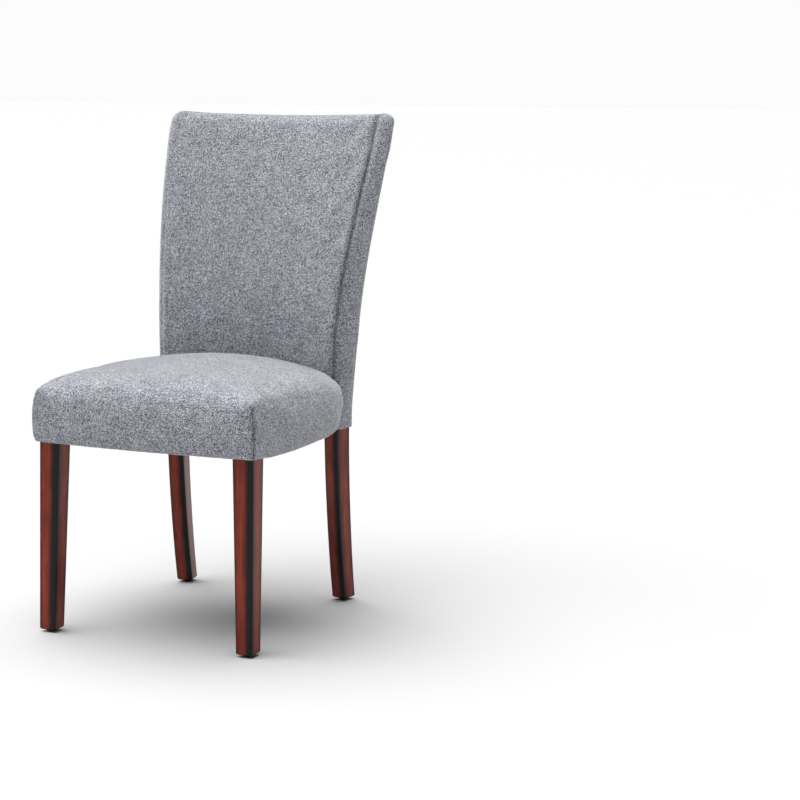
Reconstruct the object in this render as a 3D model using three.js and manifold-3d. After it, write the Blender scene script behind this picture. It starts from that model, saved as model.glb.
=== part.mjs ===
// An upholstered parsons dining chair: a tenoned hardwood frame, webbing, foam and sewn covers.
// Millimetres. +X is to the right as seen from the front, +Y the back of the chair, +Z up, and left
// and right in names are as seen from the front. The origin is on the floor under the middle of the
// chair. Until the last lines Y is zero at the front face of the front legs.
import * as THREE from "three";
import { mergeVertices } from "three/addons/utils/BufferGeometryUtils.js";
import Module from "manifold-3d";

const wasm = await Module();
wasm.setup();

// Clearances
const gap = 0.3;
const overrun = 4;

// Heights above the floor
const glideHeight = 5;
const frameUndersideHeight = 365;

// Heights above the underside of the seat frame, and how far the covers hang below it
const seatRailHeight = 70;
const seatCornerRise = 99;
const backRise = 601;
const backSweepRise = 115;
const lowerRailRise = 97;
const windowSpreadRise = 35;
const tuckRise = 82;
const seatCoverDrop = 2;
const backCoverDrop = 11;
const panelDrop = 13;
const seatCornerHeight = frameUndersideHeight + seatCornerRise;
const backHeight = frameUndersideHeight + backRise;
const backSweepStart = frameUndersideHeight + backSweepRise;
const lowerRailBottom = frameUndersideHeight + lowerRailRise;
const windowSpreadStart = frameUndersideHeight + windowSpreadRise;
const tuckHeight = frameUndersideHeight + tuckRise;
const seatCoverBottom = frameUndersideHeight - seatCoverDrop;
const backBottom = frameUndersideHeight - backCoverDrop;
const panelBottom = frameUndersideHeight - panelDrop;

// Front legs
const frontLegHalfSpan = 225.5;
const frontLegWidth = 42.6;
const frontLegDepth = 41;
const frontFootWidth = 33.6;
const frontFootDepth = 34.3;
const frontFootKick = 11.8;
const frontFootFlare = 1.3;
const legChamfer = 2;
const footChamfer = 2.5;

// Rear legs and stiles, sawn from one board, measured at the middle of the section
const postHalfSpan = 180.2;
const postWidth = 32.8;
const postSeatDepth = 41.8;
const postTopDepth = 23;
const rearFootDepth = 34.2;
const rearFootKick = 30.7;
const footSweepPower = 1.9;
const footShares = [0, 0.08, 0.17, 0.27, 0.38, 0.5, 0.62, 0.74, 0.86, 1];

// Curve of the back: its front face at the middle of the chair, seen from above and from the side
const backFaceDepth = 406;
const backPlanRadius = 903;
const backSweepReach = 145;
const backSweepPower = 1.7;
const backThickness = 72;
const backTopThickness = 43;
const backThinningPower = 1.6;
const backSidePad = 16.3;
const backFrontHalfWidth = postHalfSpan + backSidePad;
const backTopSpread = 31.5;
const backLowFlare = 8;
const backSideFlare = 23.5;
const backFlareRise = 200;
const backSideBulge = 3;
const backFrontRadius = 9;
const backRearRadius = 9;
const backTopRadius = 19;
const backTopDip = 6;
const backTopDipDepth = 110;
const frontPad = 20;
const topFrontPad = 13;
const backTopPad = 24;
const backRoundingShare = 0.33;

// Rails and their joints
const railThickness = 20;
const tenonThickness = 9;
const tenonShoulder = 10;
const tenonShare = 0.9;
const lowerRailHeight = 42;
const middleRailRise = 198;
const middleRailBottom = lowerRailBottom + middleRailRise;
const middleRailHeight = 45;
const crestRailHeight = 52;

// Corner blocks and their screws
const blockLeg = 84;
const blockHeight = 42;
const blockDrop = 14;
const screwLength = 38;
const screwRadius = 2.1;
const screwHeadRadius = 4.2;
const screwHeadHeight = 3;
const screwTip = 6;
const screwInset = 27;
const screwHoleLength = 60;

// Webbing
const webbingThickness = 1.6;
const seatWebbingWidth = 60;
const seatWebbingSpacing = 92;
const seatCrossSpacing = 92;
const seatWebbingEase = 11;
const seatWebbingLanding = 16;
const backWebbingWidth = 50;
const backWebbingMargin = 15.8;
const backWebbingLanding = 30;
const backWebbingShares = [-1, -1 / 3, 1 / 3, 1];
const backWebbingReach = postHalfSpan - (postWidth + backWebbingWidth) / 2 - backWebbingMargin;

// Seat cushion
const coverThickness = 1.6;
const seatSideReach = 2.4;
const seatSideBow = 4;
const seatOverhang = 7;
const seatFrontBow = 4;
const seatFrontRadius = 7;
const seatRearRadius = 42;
const seatRearReach = 43.8;
const seatRearHalfWidth = postHalfSpan + seatRearReach;
const seatBulge = 12;
const seatCornerSoftness = 0.5;
const seatSideRise = 16;
const seatRearFall = 25;
const seatPeakShare = 0.45;
const seatFrontCrown = 11;
const seatCrown = 28;
const seatRearCrown = 35;
const seatSideShoulder = 26;
const seatCornerShoulder = 6;
const seatRearShoulder = 6;
const seatHemWidth = 24;
const seatFrontSoftPower = 4;
const seatSideSoftPower = 6;
const wallHeightShares = [0, 0.12, 0.3, 0.52, 0.76, 1];
const wallBulgeShares = [0, 0.42, 0.85, 1, 0.75, 0.3];
const topInsetShares = [0.12, 0.3, 0.55, 0.8];

// Outside back, welts and dust cover
const windowInset = 6.2;
const windowHalfWidth = postHalfSpan - windowInset;
const windowSpread = 34.5;
const windowSpreadPower = 1.5;
const backSeamDrop = 61;
const backSeamHeight = backHeight - backSeamDrop;
const weltDiameter = 5;
const weltProud = 1.2;
const panelThickness = 1.8;
const panelRecess = 0.8;
const dustCoverThickness = 0.9;
const dustCoverInset = 13;

// Glides
const glideTopRadius = 7;
const glideBottomRadius = 5.6;
const glideLip = 1;
const nailRadius = 1.2;
const nailLength = 18;
const nailHeadRadius = 3;
const nailHeadHeight = 0.8;
const nailPoint = 3;

// How finely curved pieces are divided
const planSteps = 8;
const backSteps = 11;
const roundSteps = 3;
const capSteps = 4;
const circleSteps = 12;
const weltSides = 6;

const railTop = frameUndersideHeight + seatRailHeight;
const seatHalfWidth = frontLegHalfSpan + seatSideReach;
const webbingTop = railTop + gap + webbingThickness;
const topRoundStart = backHeight - backTopRadius;
const seatRear = backFaceDepth - gap;
const left = -1;
const right = 1;

const wood = new THREE.MeshStandardMaterial({ color: 0x6a3024, roughness: 0.35, metalness: 0 });
const rawWood = new THREE.MeshStandardMaterial({ color: 0xc39a6b, roughness: 0.8, metalness: 0 });
const fabric = new THREE.MeshStandardMaterial({ color: 0x8d929b, roughness: 0.95, metalness: 0 });
const foam = new THREE.MeshStandardMaterial({ color: 0xe9e2c8, roughness: 0.95, metalness: 0 });
const webbing = new THREE.MeshStandardMaterial({ color: 0x3a3a3c, roughness: 0.9, metalness: 0 });
const cambric = new THREE.MeshStandardMaterial({ color: 0x1c1c1e, roughness: 0.95, metalness: 0 });
const plastic = new THREE.MeshStandardMaterial({ color: 0x2b1e1a, roughness: 0.45, metalness: 0 });
const steel = new THREE.MeshStandardMaterial({ color: 0xa9abad, roughness: 0.35, metalness: 1 });

const chair = new THREE.Group();

// A closed geometry whose faces are turned outwards
function turnedOut(geometry) {
  const position = geometry.attributes.position;
  const index = geometry.index.array;
  const corners = [new THREE.Vector3(), new THREE.Vector3(), new THREE.Vector3()];
  let volume = 0;
  for (let start = 0; start < index.length; start += corners.length) {
    corners.forEach((corner, which) => corner.fromBufferAttribute(position, index[start + which]));
    volume += corners[0].dot(corners[1].cross(corners[2]));
  }
  if (volume < 0) {
    geometry.setIndex(Array.from(index).reverse());
  }
  return geometry;
}

// Triangles that fill a ring, turned as the ring is: a fan to its middle, whose number is given,
// or, where the ring bends round its middle, triangles between its own points
function capOf(ring, hub) {
  const middle = ring.reduce((sum, spot) => sum.add(spot), new THREE.Vector3());
  middle.divideScalar(ring.length);
  const normal = new THREE.Vector3();
  const arms = ring.map((spot) => spot.clone().sub(middle));
  const turns = arms.map((arm, which) => arm.clone().cross(arms[(which + 1) % ring.length]));
  turns.forEach((turn) => normal.add(turn));
  if (turns.every((turn) => turn.dot(normal) > 0)) {
    return { faces: ring.map((_, which) => [hub, which, (which + 1) % ring.length]), middle };
  }
  const flat = ring.map((spot) => new THREE.Vector2(spot.x, spot.y));
  const faces = THREE.ShapeUtils.triangulateShape(flat, []);
  const turn = faces.reduce((sum, face) => (
    sum + THREE.ShapeUtils.area(face.map((which) => flat[which]))), 0);
  const same = turn * THREE.ShapeUtils.area(flat) > 0;
  return { faces: faces.map((face) => (same ? face : face.toReversed())), middle };
}

// One closed solid through rings of equal point count
function loft(rings) {
  const count = rings[0].length;
  const positions = rings.flat().flatMap((point) => point.toArray());
  const index = [];
  for (let row = 0; row + 1 < rings.length; row += 1) {
    for (let column = 0; column < count; column += 1) {
      const next = (column + 1) % count;
      const here = row * count + column;
      const beside = row * count + next;
      index.push(here, beside, beside + count, here, beside + count, here + count);
    }
  }
  const last = (rings.length - 1) * count;
  const hub = last + count;
  const start = capOf(rings[0], hub);
  const end = capOf(rings.at(-1), hub + 1 - last);
  positions.push(...start.middle.toArray(), ...end.middle.toArray());
  start.faces.forEach((face) => index.push(...face.toReversed()));
  end.faces.forEach((face) => index.push(...face.map((which) => which + last)));
  const geometry = new THREE.BufferGeometry();
  geometry.setAttribute("position", new THREE.Float32BufferAttribute(positions, 3));
  geometry.setIndex(index);
  return turnedOut(geometry);
}

// A solid that can be cut and joined
function solidOf(geometry) {
  const bare = geometry.clone();
  bare.deleteAttribute("normal");
  bare.deleteAttribute("uv");
  const merged = mergeVertices(bare);
  const triVerts = Uint32Array.from(merged.index.array);
  const vertProperties = Float32Array.from(merged.attributes.position.array);
  return new wasm.Manifold(new wasm.Mesh({ numProp: 3, vertProperties, triVerts }));
}

// The geometry of a cut or joined solid
function geometryOf(solid) {
  const mesh = solid.getMesh();
  const geometry = new THREE.BufferGeometry();
  geometry.setAttribute("position", new THREE.Float32BufferAttribute(mesh.vertProperties, 3));
  geometry.setIndex(Array.from(mesh.triVerts));
  return geometry;
}

// A solid less all that is cut away from it
function without(solid, cutters) {
  return cutters.reduce((rest, cutter) => rest.subtract(cutter), solid);
}

function place(name, geometry, material) {
  const finished = geometry.index ? geometry.toNonIndexed() : geometry;
  finished.deleteAttribute("normal");
  finished.computeVertexNormals();
  const mesh = new THREE.Mesh(finished, material);
  mesh.name = name;
  chair.add(mesh);
}

function placeSolid(name, solid, material) {
  place(name, geometryOf(solid), material);
}

// A box between two corners
function block(low, high) {
  const size = high.clone().sub(low);
  const geometry = new THREE.BoxGeometry(size.x, size.y, size.z);
  geometry.translate(...low.clone().add(high).divideScalar(2).toArray());
  return geometry;
}

function point(x, y, z) {
  return new THREE.Vector3(x, y, z);
}

function mix(from, to, share) {
  return from + (to - from) * share;
}

// How far towards the front the back's plan curve has come at a distance from the middle
function planCurve(x) {
  return x * x / (2 * backPlanRadius);
}

// How far a flat facet across a run of the plan curve stands in front of the curve
function facetRise(run) {
  return planCurve(run / 2);
}

function sweepShare(z) {
  const share = (z - backSweepStart) / (backHeight - backSweepStart);
  return Math.max(share, 0);
}

function thinning(z) {
  return sweepShare(z) ** backThinningPower;
}

// Front face of the upholstered back at the middle of the chair
function backFront(z) {
  return backFaceDepth + backSweepReach * sweepShare(z) ** backSweepPower;
}

function backDepth(z) {
  return mix(backThickness, backTopThickness, thinning(z));
}

function backHalfWidth(z) {
  const share = Math.min(sweepShare(z), 1);
  return backFrontHalfWidth + backTopSpread * share * share * (3 - 2 * share);
}

// How much wider the back is at its rear face than at its front face
function backFlare(z) {
  const share = Math.min((z - backBottom) / backFlareRise, 1);
  return mix(backLowFlare, backSideFlare, Math.max(share * share * (3 - 2 * share), 0));
}

// Front faces of the stiles and back rails, under the front padding
function frameFront(z) {
  return backFront(z) + mix(frontPad, topFrontPad, thinning(z));
}

function postDepth(z) {
  return mix(postSeatDepth, postTopDepth, thinning(z));
}

// The stile keeps its distance from the edge of the back as the back widens
function postX(z) {
  return postHalfSpan + backHalfWidth(z) - backFrontHalfWidth;
}

// Front leg section with chamfered corners
function chamfered(width, depth, chamfer) {
  const x = width / 2;
  const y = depth / 2;
  return [
    [x - chamfer, -y], [x, chamfer - y], [x, y - chamfer], [x - chamfer, y],
    [chamfer - x, y], [-x, y - chamfer], [-x, chamfer - y], [chamfer - x, -y],
  ];
}

// One front leg, grown on every face by a clearance
function frontLeg(side, grow) {
  const levels = [
    [glideHeight - grow, 1, grow - footChamfer], [glideHeight + footChamfer, 1, grow],
    [frameUndersideHeight, 0, grow], [railTop + grow, 0, grow],
  ];
  return solidOf(loft(levels.map(([z, foot, growth]) => {
    const width = mix(frontLegWidth, frontFootWidth, foot);
    const depth = mix(frontLegDepth, frontFootDepth, foot);
    const outer = frontLegHalfSpan + frontFootFlare * foot;
    const x = side * (outer - width / 2);
    const y = depth / 2 - frontFootKick * foot;
    const section = chamfered(width + 2 * growth, depth + 2 * growth, legChamfer);
    return section.map(([across, along]) => point(x + across, y + along, z));
  })));
}

// Turn of the rear legs, so that their faces follow the plan curve of the back
const postTurn = Math.asin(postHalfSpan / backPlanRadius);

// A section in the rear leg's own turned plan, its first number outwards and its second backwards
function postRing(side, level, section) {
  const outward = point(Math.cos(postTurn), -Math.sin(postTurn), 0);
  const backward = point(Math.sin(postTurn), Math.cos(postTurn), 0);
  return section.map(([u, v]) => {
    const spot = point(level.x, level.y, level.z);
    spot.addScaledVector(outward, u).addScaledVector(backward, v);
    spot.x *= side;
    return spot;
  });
}

// Middle of the rear leg at the underside of the seat frame
const postSeatY = frameFront(frameUndersideHeight) - planCurve(postHalfSpan) + postSeatDepth / 2;

// Middle, depth and growth of the rear leg and stile from the chamfered foot to the top
function postLevels(grow) {
  const levels = footShares.toReversed().map((share) => ({
    x: postHalfSpan,
    y: postSeatY + rearFootKick * share ** footSweepPower,
    z: mix(frameUndersideHeight, glideHeight, share),
    depth: mix(postSeatDepth, rearFootDepth, share),
    growth: grow,
  }));
  const top = backHeight - backTopPad;
  for (let step = 0; step < backSteps; step += 1) {
    const z = mix(backSweepStart, top, step / (backSteps - 1));
    const y = frameFront(z) - planCurve(postX(z)) + postDepth(z) / 2;
    levels.push({ x: postX(z), y, z, depth: postDepth(z), growth: grow });
  }
  const foot = { ...levels[0], z: levels[0].z - grow, growth: grow - footChamfer };
  levels[0].z += footChamfer;
  levels.at(-1).z += grow;
  return [foot, ...levels];
}

// One rear leg and stile, grown on every face by a clearance
function rearPost(side, grow) {
  return solidOf(loft(postLevels(grow).map((level) => {
    const width = postWidth + 2 * level.growth;
    const depth = level.depth + 2 * level.growth;
    return postRing(side, level, chamfered(width, depth, legChamfer));
  })));
}

// All that lies outside the inner face of a stile
function outsideInnerFace(side) {
  const inner = -postWidth / 2 - gap;
  return solidOf(loft(postLevels(overrun).map((level) => postRing(side, level, [
    [inner, -frontLegHalfSpan], [frontLegHalfSpan, -frontLegHalfSpan],
    [frontLegHalfSpan, frontLegHalfSpan], [inner, frontLegHalfSpan],
  ]))));
}

// All that lies behind the front face of a stile
function behindFrontFace(side) {
  return solidOf(loft(postLevels(overrun).map((level) => postRing(side, level, [
    [-frontLegHalfSpan, -level.depth / 2 - gap], [frontLegHalfSpan, -level.depth / 2 - gap],
    [frontLegHalfSpan, frontLegHalfSpan], [-frontLegHalfSpan, frontLegHalfSpan],
  ]))));
}

// A curved rail across the back between two heights, its front set by a function of height
function curvedRail(halfLength, low, high, front, thickness, grow) {
  const rings = [];
  for (let step = 0; step <= planSteps; step += 1) {
    const x = mix(-halfLength, halfLength, step / planSteps);
    const forward = planCurve(x);
    rings.push([
      point(x, front(low) - forward - grow, low - grow),
      point(x, front(high) - forward - grow, high + grow),
      point(x, front(high) - forward + thickness + grow, high + grow),
      point(x, front(low) - forward + thickness + grow, low - grow),
    ]);
  }
  return solidOf(loft(rings));
}

const cheekInset = (railThickness - tenonThickness) / 2;

// A curved rail with a tenon into each stile, and the same tenons grown for the mortises
function tenonedCrossRail(low, high, front) {
  const middleX = postX((low + high) / 2);
  const reach = middleX - postWidth / 2 + (postWidth - railThickness) * tenonShare;
  const tenonLow = low + tenonShoulder;
  const tenonHigh = high - tenonShoulder;
  const tenonFront = (z) => front(z) + cheekInset;
  const body = curvedRail(middleX, low, high, front, railThickness, 0);
  const ends = outsideInnerFace(left).add(outsideInnerFace(right));
  const tenon = curvedRail(reach, tenonLow, tenonHigh, tenonFront, tenonThickness, 0);
  const mortise = curvedRail(reach + gap, tenonLow, tenonHigh, tenonFront, tenonThickness, gap);
  return { rail: body.subtract(ends).add(tenon), mortise };
}

const seatBackRail = tenonedCrossRail(
  frameUndersideHeight,
  railTop,
  (z) => frameFront(z) + postSeatDepth - railThickness,
);
const lowerRail = tenonedCrossRail(lowerRailBottom, lowerRailBottom + lowerRailHeight, frameFront);
const middleRail = tenonedCrossRail(middleRailBottom, middleRailBottom + middleRailHeight, frameFront);
const crestTop = backHeight - backTopPad - backTopDip - gap;
const crestRail = tenonedCrossRail(crestTop - crestRailHeight, crestTop, frameFront);

// A straight rail along the sides or front, given by its outer face from one end to the other
function straightRail(start, end, inward, outset, thickness, low, high) {
  const offset = inward.clone().multiplyScalar(outset);
  const through = inward.clone().multiplyScalar(thickness);
  const rings = [start, end].map((tip) => {
    const near = tip.clone().add(offset);
    const far = near.clone().add(through);
    return [point(near.x, near.y, low), point(near.x, near.y, high),
      point(far.x, far.y, high), point(far.x, far.y, low)];
  });
  return solidOf(loft(rings));
}

// The side rail runs from the outer face of the front leg to the outer front corner of the rear leg
function sideRailLine(side) {
  const x = postHalfSpan + postWidth / 2 * Math.cos(postTurn) - postSeatDepth / 2 * Math.sin(postTurn);
  const y = postSeatY - postWidth / 2 * Math.sin(postTurn) - postSeatDepth / 2 * Math.cos(postTurn);
  const start = point(side * frontLegHalfSpan, frontLegDepth, 0);
  const end = point(side * x, y, 0);
  const along = end.clone().sub(start).normalize();
  const inward = point(-side * along.y, side * along.x, 0);
  return { start, end, along, inward };
}

function sideRail(side) {
  const { start, end, along, inward } = sideRailLine(side);
  const stretch = (from, by) => from.clone().addScaledVector(along, by);
  const frontReach = (frontLegDepth - railThickness) * tenonShare;
  const rearReach = (postSeatDepth - railThickness) * tenonShare;
  const bodyStart = stretch(start, -frontLegDepth / 2);
  const bodyEnd = stretch(end, postSeatDepth / 2);
  const body = straightRail(bodyStart, bodyEnd, inward, 0, railThickness, frameUndersideHeight, railTop);
  const wide = frontLegHalfSpan + railThickness;
  const beforeLeg = solidOf(block(
    point(-wide, -frontLegDepth, frameUndersideHeight - overrun),
    point(wide, frontLegDepth + gap, railTop + overrun),
  ));
  const ends = beforeLeg.add(behindFrontFace(side));
  const tenonLow = frameUndersideHeight + tenonShoulder;
  const tenonHigh = railTop - tenonShoulder;
  const rearTenonStart = stretch(end, rearReach);
  const frontTenonEnd = stretch(start, -frontReach);
  const tenon = straightRail(
    frontTenonEnd, rearTenonStart, inward, cheekInset, tenonThickness, tenonLow, tenonHigh);
  const mortise = straightRail(
    stretch(frontTenonEnd, -gap), stretch(rearTenonStart, gap), inward, cheekInset - gap,
    tenonThickness + gap + gap, tenonLow - gap, tenonHigh + gap);
  return { rail: body.subtract(ends).add(tenon), mortise };
}

function frontRail() {
  const half = frontLegHalfSpan - frontLegWidth;
  const reach = half + (frontLegWidth - railThickness) * tenonShare;
  const inward = point(0, 1, 0);
  const low = frameUndersideHeight + tenonShoulder;
  const high = railTop - tenonShoulder;
  const rail = (halfLength, outset, thickness, bottom, top) => straightRail(
    point(-halfLength, 0, 0), point(halfLength, 0, 0), inward, outset, thickness, bottom, top);
  const body = rail(half - gap, 0, railThickness, frameUndersideHeight, railTop);
  const tenon = rail(reach, cheekInset, tenonThickness, low, high);
  const mortise = rail(
    reach + gap, cheekInset - gap, tenonThickness + gap + gap, low - gap, high + gap);
  return { rail: body.add(tenon), mortise };
}

// A wood screw along +Z with its point up, its head seat at the origin
function screwGeometry(grow) {
  const shank = screwRadius + grow;
  const head = screwHeadRadius + grow;
  const tip = screwLength + grow;
  const profile = [
    [0, -screwHeadHeight - grow], [head, -screwHeadHeight - grow], [head, 0],
    [shank, 0], [shank, tip - screwTip], [0, tip],
  ];
  const geometry = new THREE.LatheGeometry(
    profile.map(([radius, height]) => new THREE.Vector2(radius, height)), circleSteps);
  return geometry.rotateX(Math.PI / 2);
}

// The driver's way to the screw head, behind the head along -Z
function driverWay() {
  const geometry = new THREE.CylinderGeometry(
    screwHeadRadius + gap, screwHeadRadius + gap, screwHoleLength, circleSteps);
  geometry.rotateX(Math.PI / 2);
  return geometry.translate(0, 0, -screwHoleLength / 2);
}

function aimed(geometry, seat, direction) {
  const turn = new THREE.Quaternion().setFromUnitVectors(point(0, 0, 1), direction);
  return geometry.clone().applyQuaternion(turn).translate(...seat.toArray());
}

// A corner block: a three-cornered block cut round the legs and rails it is glued to, with two screws
function cornerBlock(corner, alongCross, alongSide, cutters) {
  const low = railTop - blockDrop - blockHeight;
  const high = railTop - blockDrop;
  const reach = blockLeg + overrun;
  const outline = (z) => [
    corner.clone().addScaledVector(alongCross, -overrun).addScaledVector(alongSide, -overrun),
    corner.clone().addScaledVector(alongCross, reach).addScaledVector(alongSide, -overrun),
    corner.clone().addScaledVector(alongCross, -overrun).addScaledVector(alongSide, reach),
  ].map((spot) => point(spot.x, spot.y, z));
  let solid = without(solidOf(loft([outline(low), outline(high)])), cutters);
  const level = (low + high) / 2;
  const screws = [[alongCross, alongSide], [alongSide, alongCross]].map(([run, out]) => {
    const seat = corner.clone()
      .addScaledVector(run, blockLeg - screwInset)
      .addScaledVector(out, screwInset - screwHeadRadius - screwHeadHeight);
    return { seat: point(seat.x, seat.y, level), direction: out.clone().negate() };
  });
  for (const { seat, direction } of screws) {
    solid = solid.subtract(solidOf(aimed(driverWay(), seat, direction)));
    solid = solid.subtract(solidOf(aimed(screwGeometry(gap), seat, direction)));
  }
  return { solid, screws };
}

// Where the inner face of a side rail, with its clearance, comes to a depth
function innerCorner(side, y) {
  const { start, along, inward } = sideRailLine(side);
  const face = start.clone().addScaledVector(inward, railThickness + gap);
  return point(face.x + (y - face.y) * along.x / along.y, y, 0);
}

// Space of a side rail from leg to leg, with the clearance that the corner blocks keep
function sideRailSpace(side, low, high) {
  const { start, end, along, inward } = sideRailLine(side);
  const from = start.clone().addScaledVector(along, -frontLegDepth);
  const to = end.clone().addScaledVector(along, postSeatDepth);
  return straightRail(from, to, inward, 0, railThickness + gap, low, high);
}

function frontCornerBlock(side) {
  const low = frameUndersideHeight - overrun;
  const high = railTop + overrun;
  const thick = railThickness + gap;
  const rail = block(point(-frontLegHalfSpan, 0, low), point(frontLegHalfSpan, thick, high));
  const cutters = [frontLeg(side, gap), sideRailSpace(side, low, high), solidOf(rail)];
  const { along } = sideRailLine(side);
  return cornerBlock(innerCorner(side, thick), point(-side, 0, 0), along, cutters);
}

function rearCornerBlock(side) {
  const low = frameUndersideHeight - overrun;
  const high = railTop + overrun;
  const face = frameFront(frameUndersideHeight) + postSeatDepth - railThickness - gap;
  const rail = curvedRail(frontLegHalfSpan, low, high, () => face, railThickness + gap, 0);
  const cutters = [rearPost(side, gap), sideRailSpace(side, low, high), rail];
  const forward = sideRailLine(side).along.clone().negate();
  const corner = innerCorner(side, face - planCurve(postHalfSpan));
  return cornerBlock(corner, point(-side, 0, 0), forward, cutters);
}

// Places a corner block and its screws, and gives the holes that they need in the cross rail and
// in the side rail
function placeCornerBlock(name, made) {
  placeSolid(`corner_block_${name}`, made.solid, rawWood);
  return made.screws.map(({ seat, direction }, which) => {
    const rail = which === 0 ? "cross" : "side";
    place(`block_screw_${name}_${rail}`, aimed(screwGeometry(0), seat, direction), steel);
    return solidOf(aimed(screwGeometry(gap), seat, direction));
  });
}

function placeLegsAndSeatFrame() {
  const front = frontRail();
  let frontSolid = front.rail;
  let rearSolid = seatBackRail.rail;
  const nails = glideSpots().map(([, x, y]) => solidOf(nailGeometry(gap).translate(x, y, 0)));
  for (const [side, name] of [[left, "left"], [right, "right"]]) {
    const rail = sideRail(side);
    const [frontHole, sideFrontHole] = placeCornerBlock(`front_${name}`, frontCornerBlock(side));
    const [rearHole, sideRearHole] = placeCornerBlock(`rear_${name}`, rearCornerBlock(side));
    const joints = [rail, seatBackRail, lowerRail, middleRail, crestRail];
    const mortises = joints.map((joint) => joint.mortise);
    const leg = without(frontLeg(side, 0), [front.mortise, rail.mortise, ...nails]);
    placeSolid(`front_leg_${name}`, leg, wood);
    const post = without(rearPost(side, 0), [...mortises, ...nails]);
    placeSolid(`rear_leg_and_stile_${name}`, post, wood);
    placeSolid(`seat_rail_${name}`, without(rail.rail, [sideFrontHole, sideRearHole]), rawWood);
    frontSolid = frontSolid.subtract(frontHole);
    rearSolid = rearSolid.subtract(rearHole);
  }
  placeSolid("seat_rail_front", frontSolid, rawWood);
  placeSolid("seat_rail_rear", rearSolid, rawWood);
}

function placeBackFrame() {
  placeSolid("back_rail_lower", lowerRail.rail, rawWood);
  placeSolid("back_rail_middle", middleRail.rail, rawWood);
  placeSolid("back_rail_crest", crestRail.rail, rawWood);
}

// Ring across a flat strap that runs along Y
function strapRing(x, y, bottom, width) {
  return [
    point(x - width / 2, y, bottom), point(x + width / 2, y, bottom),
    point(x + width / 2, y, bottom + webbingThickness),
    point(x - width / 2, y, bottom + webbingThickness),
  ];
}

const lengthwiseX = [-seatWebbingSpacing, 0, seatWebbingSpacing];
const crossMiddle = (railThickness + backFaceDepth) / 2;
const crossY = [-seatCrossSpacing, 0, seatCrossSpacing].map((offset) => crossMiddle + offset);

// Where a strap lies high over each strap that it crosses, and low between them
function weave(crossings, firstOver, start, end, crossWidth) {
  const low = railTop + gap;
  const high = low + webbingThickness + gap;
  const stations = [[start, low]];
  crossings.forEach((spot, which) => {
    const over = (which % 2 === 0) === firstOver;
    if (over) {
      const reach = crossWidth / 2 + gap;
      stations.push([spot - reach - seatWebbingEase, low], [spot - reach, high]);
      stations.push([spot + reach, high], [spot + reach + seatWebbingEase, low]);
    }
  });
  stations.push([end, low]);
  return stations;
}

// Seat webbing, each strap over and under those it crosses, tacked to the tops of the rails
function placeSeatWebbing() {
  const rearFace = frameFront(frameUndersideHeight) + postSeatDepth - railThickness;
  lengthwiseX.forEach((x, which) => {
    const outer = Math.abs(x) + seatWebbingWidth / 2;
    const end = rearFace - planCurve(outer) + seatWebbingLanding;
    const start = railThickness - seatWebbingLanding;
    const stations = weave(crossY, which % 2 === 0, start, end, seatWebbingWidth);
    const rings = stations.map(([y, z]) => strapRing(x, y, z, seatWebbingWidth));
    place(`seat_webbing_long_${which + 1}`, loft(rings), webbing);
  });
  const { start, along, inward } = sideRailLine(right);
  crossY.forEach((y, which) => {
    const travelled = (y + seatWebbingWidth / 2 - start.y) / along.y;
    const face = start.x + along.x * travelled + inward.x * railThickness;
    const half = face + seatWebbingLanding - facetRise(seatWebbingWidth);
    const stations = weave(lengthwiseX, which % 2 === 1, -half, half, seatWebbingWidth);
    const rings = stations.map(([x, z]) => [
      point(x, y - seatWebbingWidth / 2, z), point(x, y + seatWebbingWidth / 2, z),
      point(x, y + seatWebbingWidth / 2, z + webbingThickness),
      point(x, y - seatWebbingWidth / 2, z + webbingThickness),
    ]);
    place(`seat_webbing_cross_${which + 1}`, loft(rings), webbing);
  });
}

// How far a facet of the back's side profile stands behind the sweep, most at its start
const levelStep = (topRoundStart - backSweepStart) / backSteps;
const sweepMiddle = (backSweepStart + backSweepStart + levelStep) / 2;
const profileFacetRise = (backFront(backSweepStart) + backFront(backSweepStart + levelStep)) / 2
  - backFront(sweepMiddle);

// Front of the back webbing, clear of the facets of the rails behind it
const railFacetRise = facetRise(2 * postX(crestTop) / planSteps);
const webbingBehind = gap + railFacetRise;

// Back webbing, four straps tacked to the front of the three back rails
function placeBackWebbing() {
  const levels = [
    lowerRailBottom + lowerRailHeight - backWebbingLanding, lowerRailBottom + lowerRailHeight,
    middleRailBottom, middleRailBottom + middleRailHeight,
    crestTop - crestRailHeight, crestTop - crestRailHeight + backWebbingLanding,
  ];
  backWebbingShares.forEach((share, which) => {
    const x = share * backWebbingReach;
    const edges = [x - backWebbingWidth / 2, x + backWebbingWidth / 2];
    const rings = levels.map((z) => {
      const front = frameFront(z) - webbingBehind - webbingThickness;
      const back = frameFront(z) - webbingBehind;
      return [
        point(edges[0], front - planCurve(edges[0]), z), point(edges[1], front - planCurve(edges[1]), z),
        point(edges[1], back - planCurve(edges[1]), z), point(edges[0], back - planCurve(edges[0]), z),
      ];
    });
    place(`back_webbing_${which + 1}`, loft(rings), webbing);
  });
}

// Height of the seat's top over the plan, by its place across and along the seat
function seatTop(x, y) {
  const across = Math.min(Math.abs(x) / seatHalfWidth, 1);
  const middle = (seatRear - seatOverhang) / 2;
  const along = Math.max(Math.min((y - middle) / (seatRear - middle), 1), -1);
  const share = (along + 1) / 2;
  const rising = Math.max(1 - share / seatPeakShare, 0);
  const falling = Math.max((share - seatPeakShare) / (1 - seatPeakShare), 0);
  const edge = seatCornerHeight + seatSideRise * (1 - rising * rising) - seatRearFall * falling * falling;
  const crown = seatCrown + (seatRearCrown - seatFrontCrown) / 2 * along
    + ((seatRearCrown + seatFrontCrown) / 2 - seatCrown) * along * along;
  return edge + crown * (1 - across * across);
}

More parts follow.
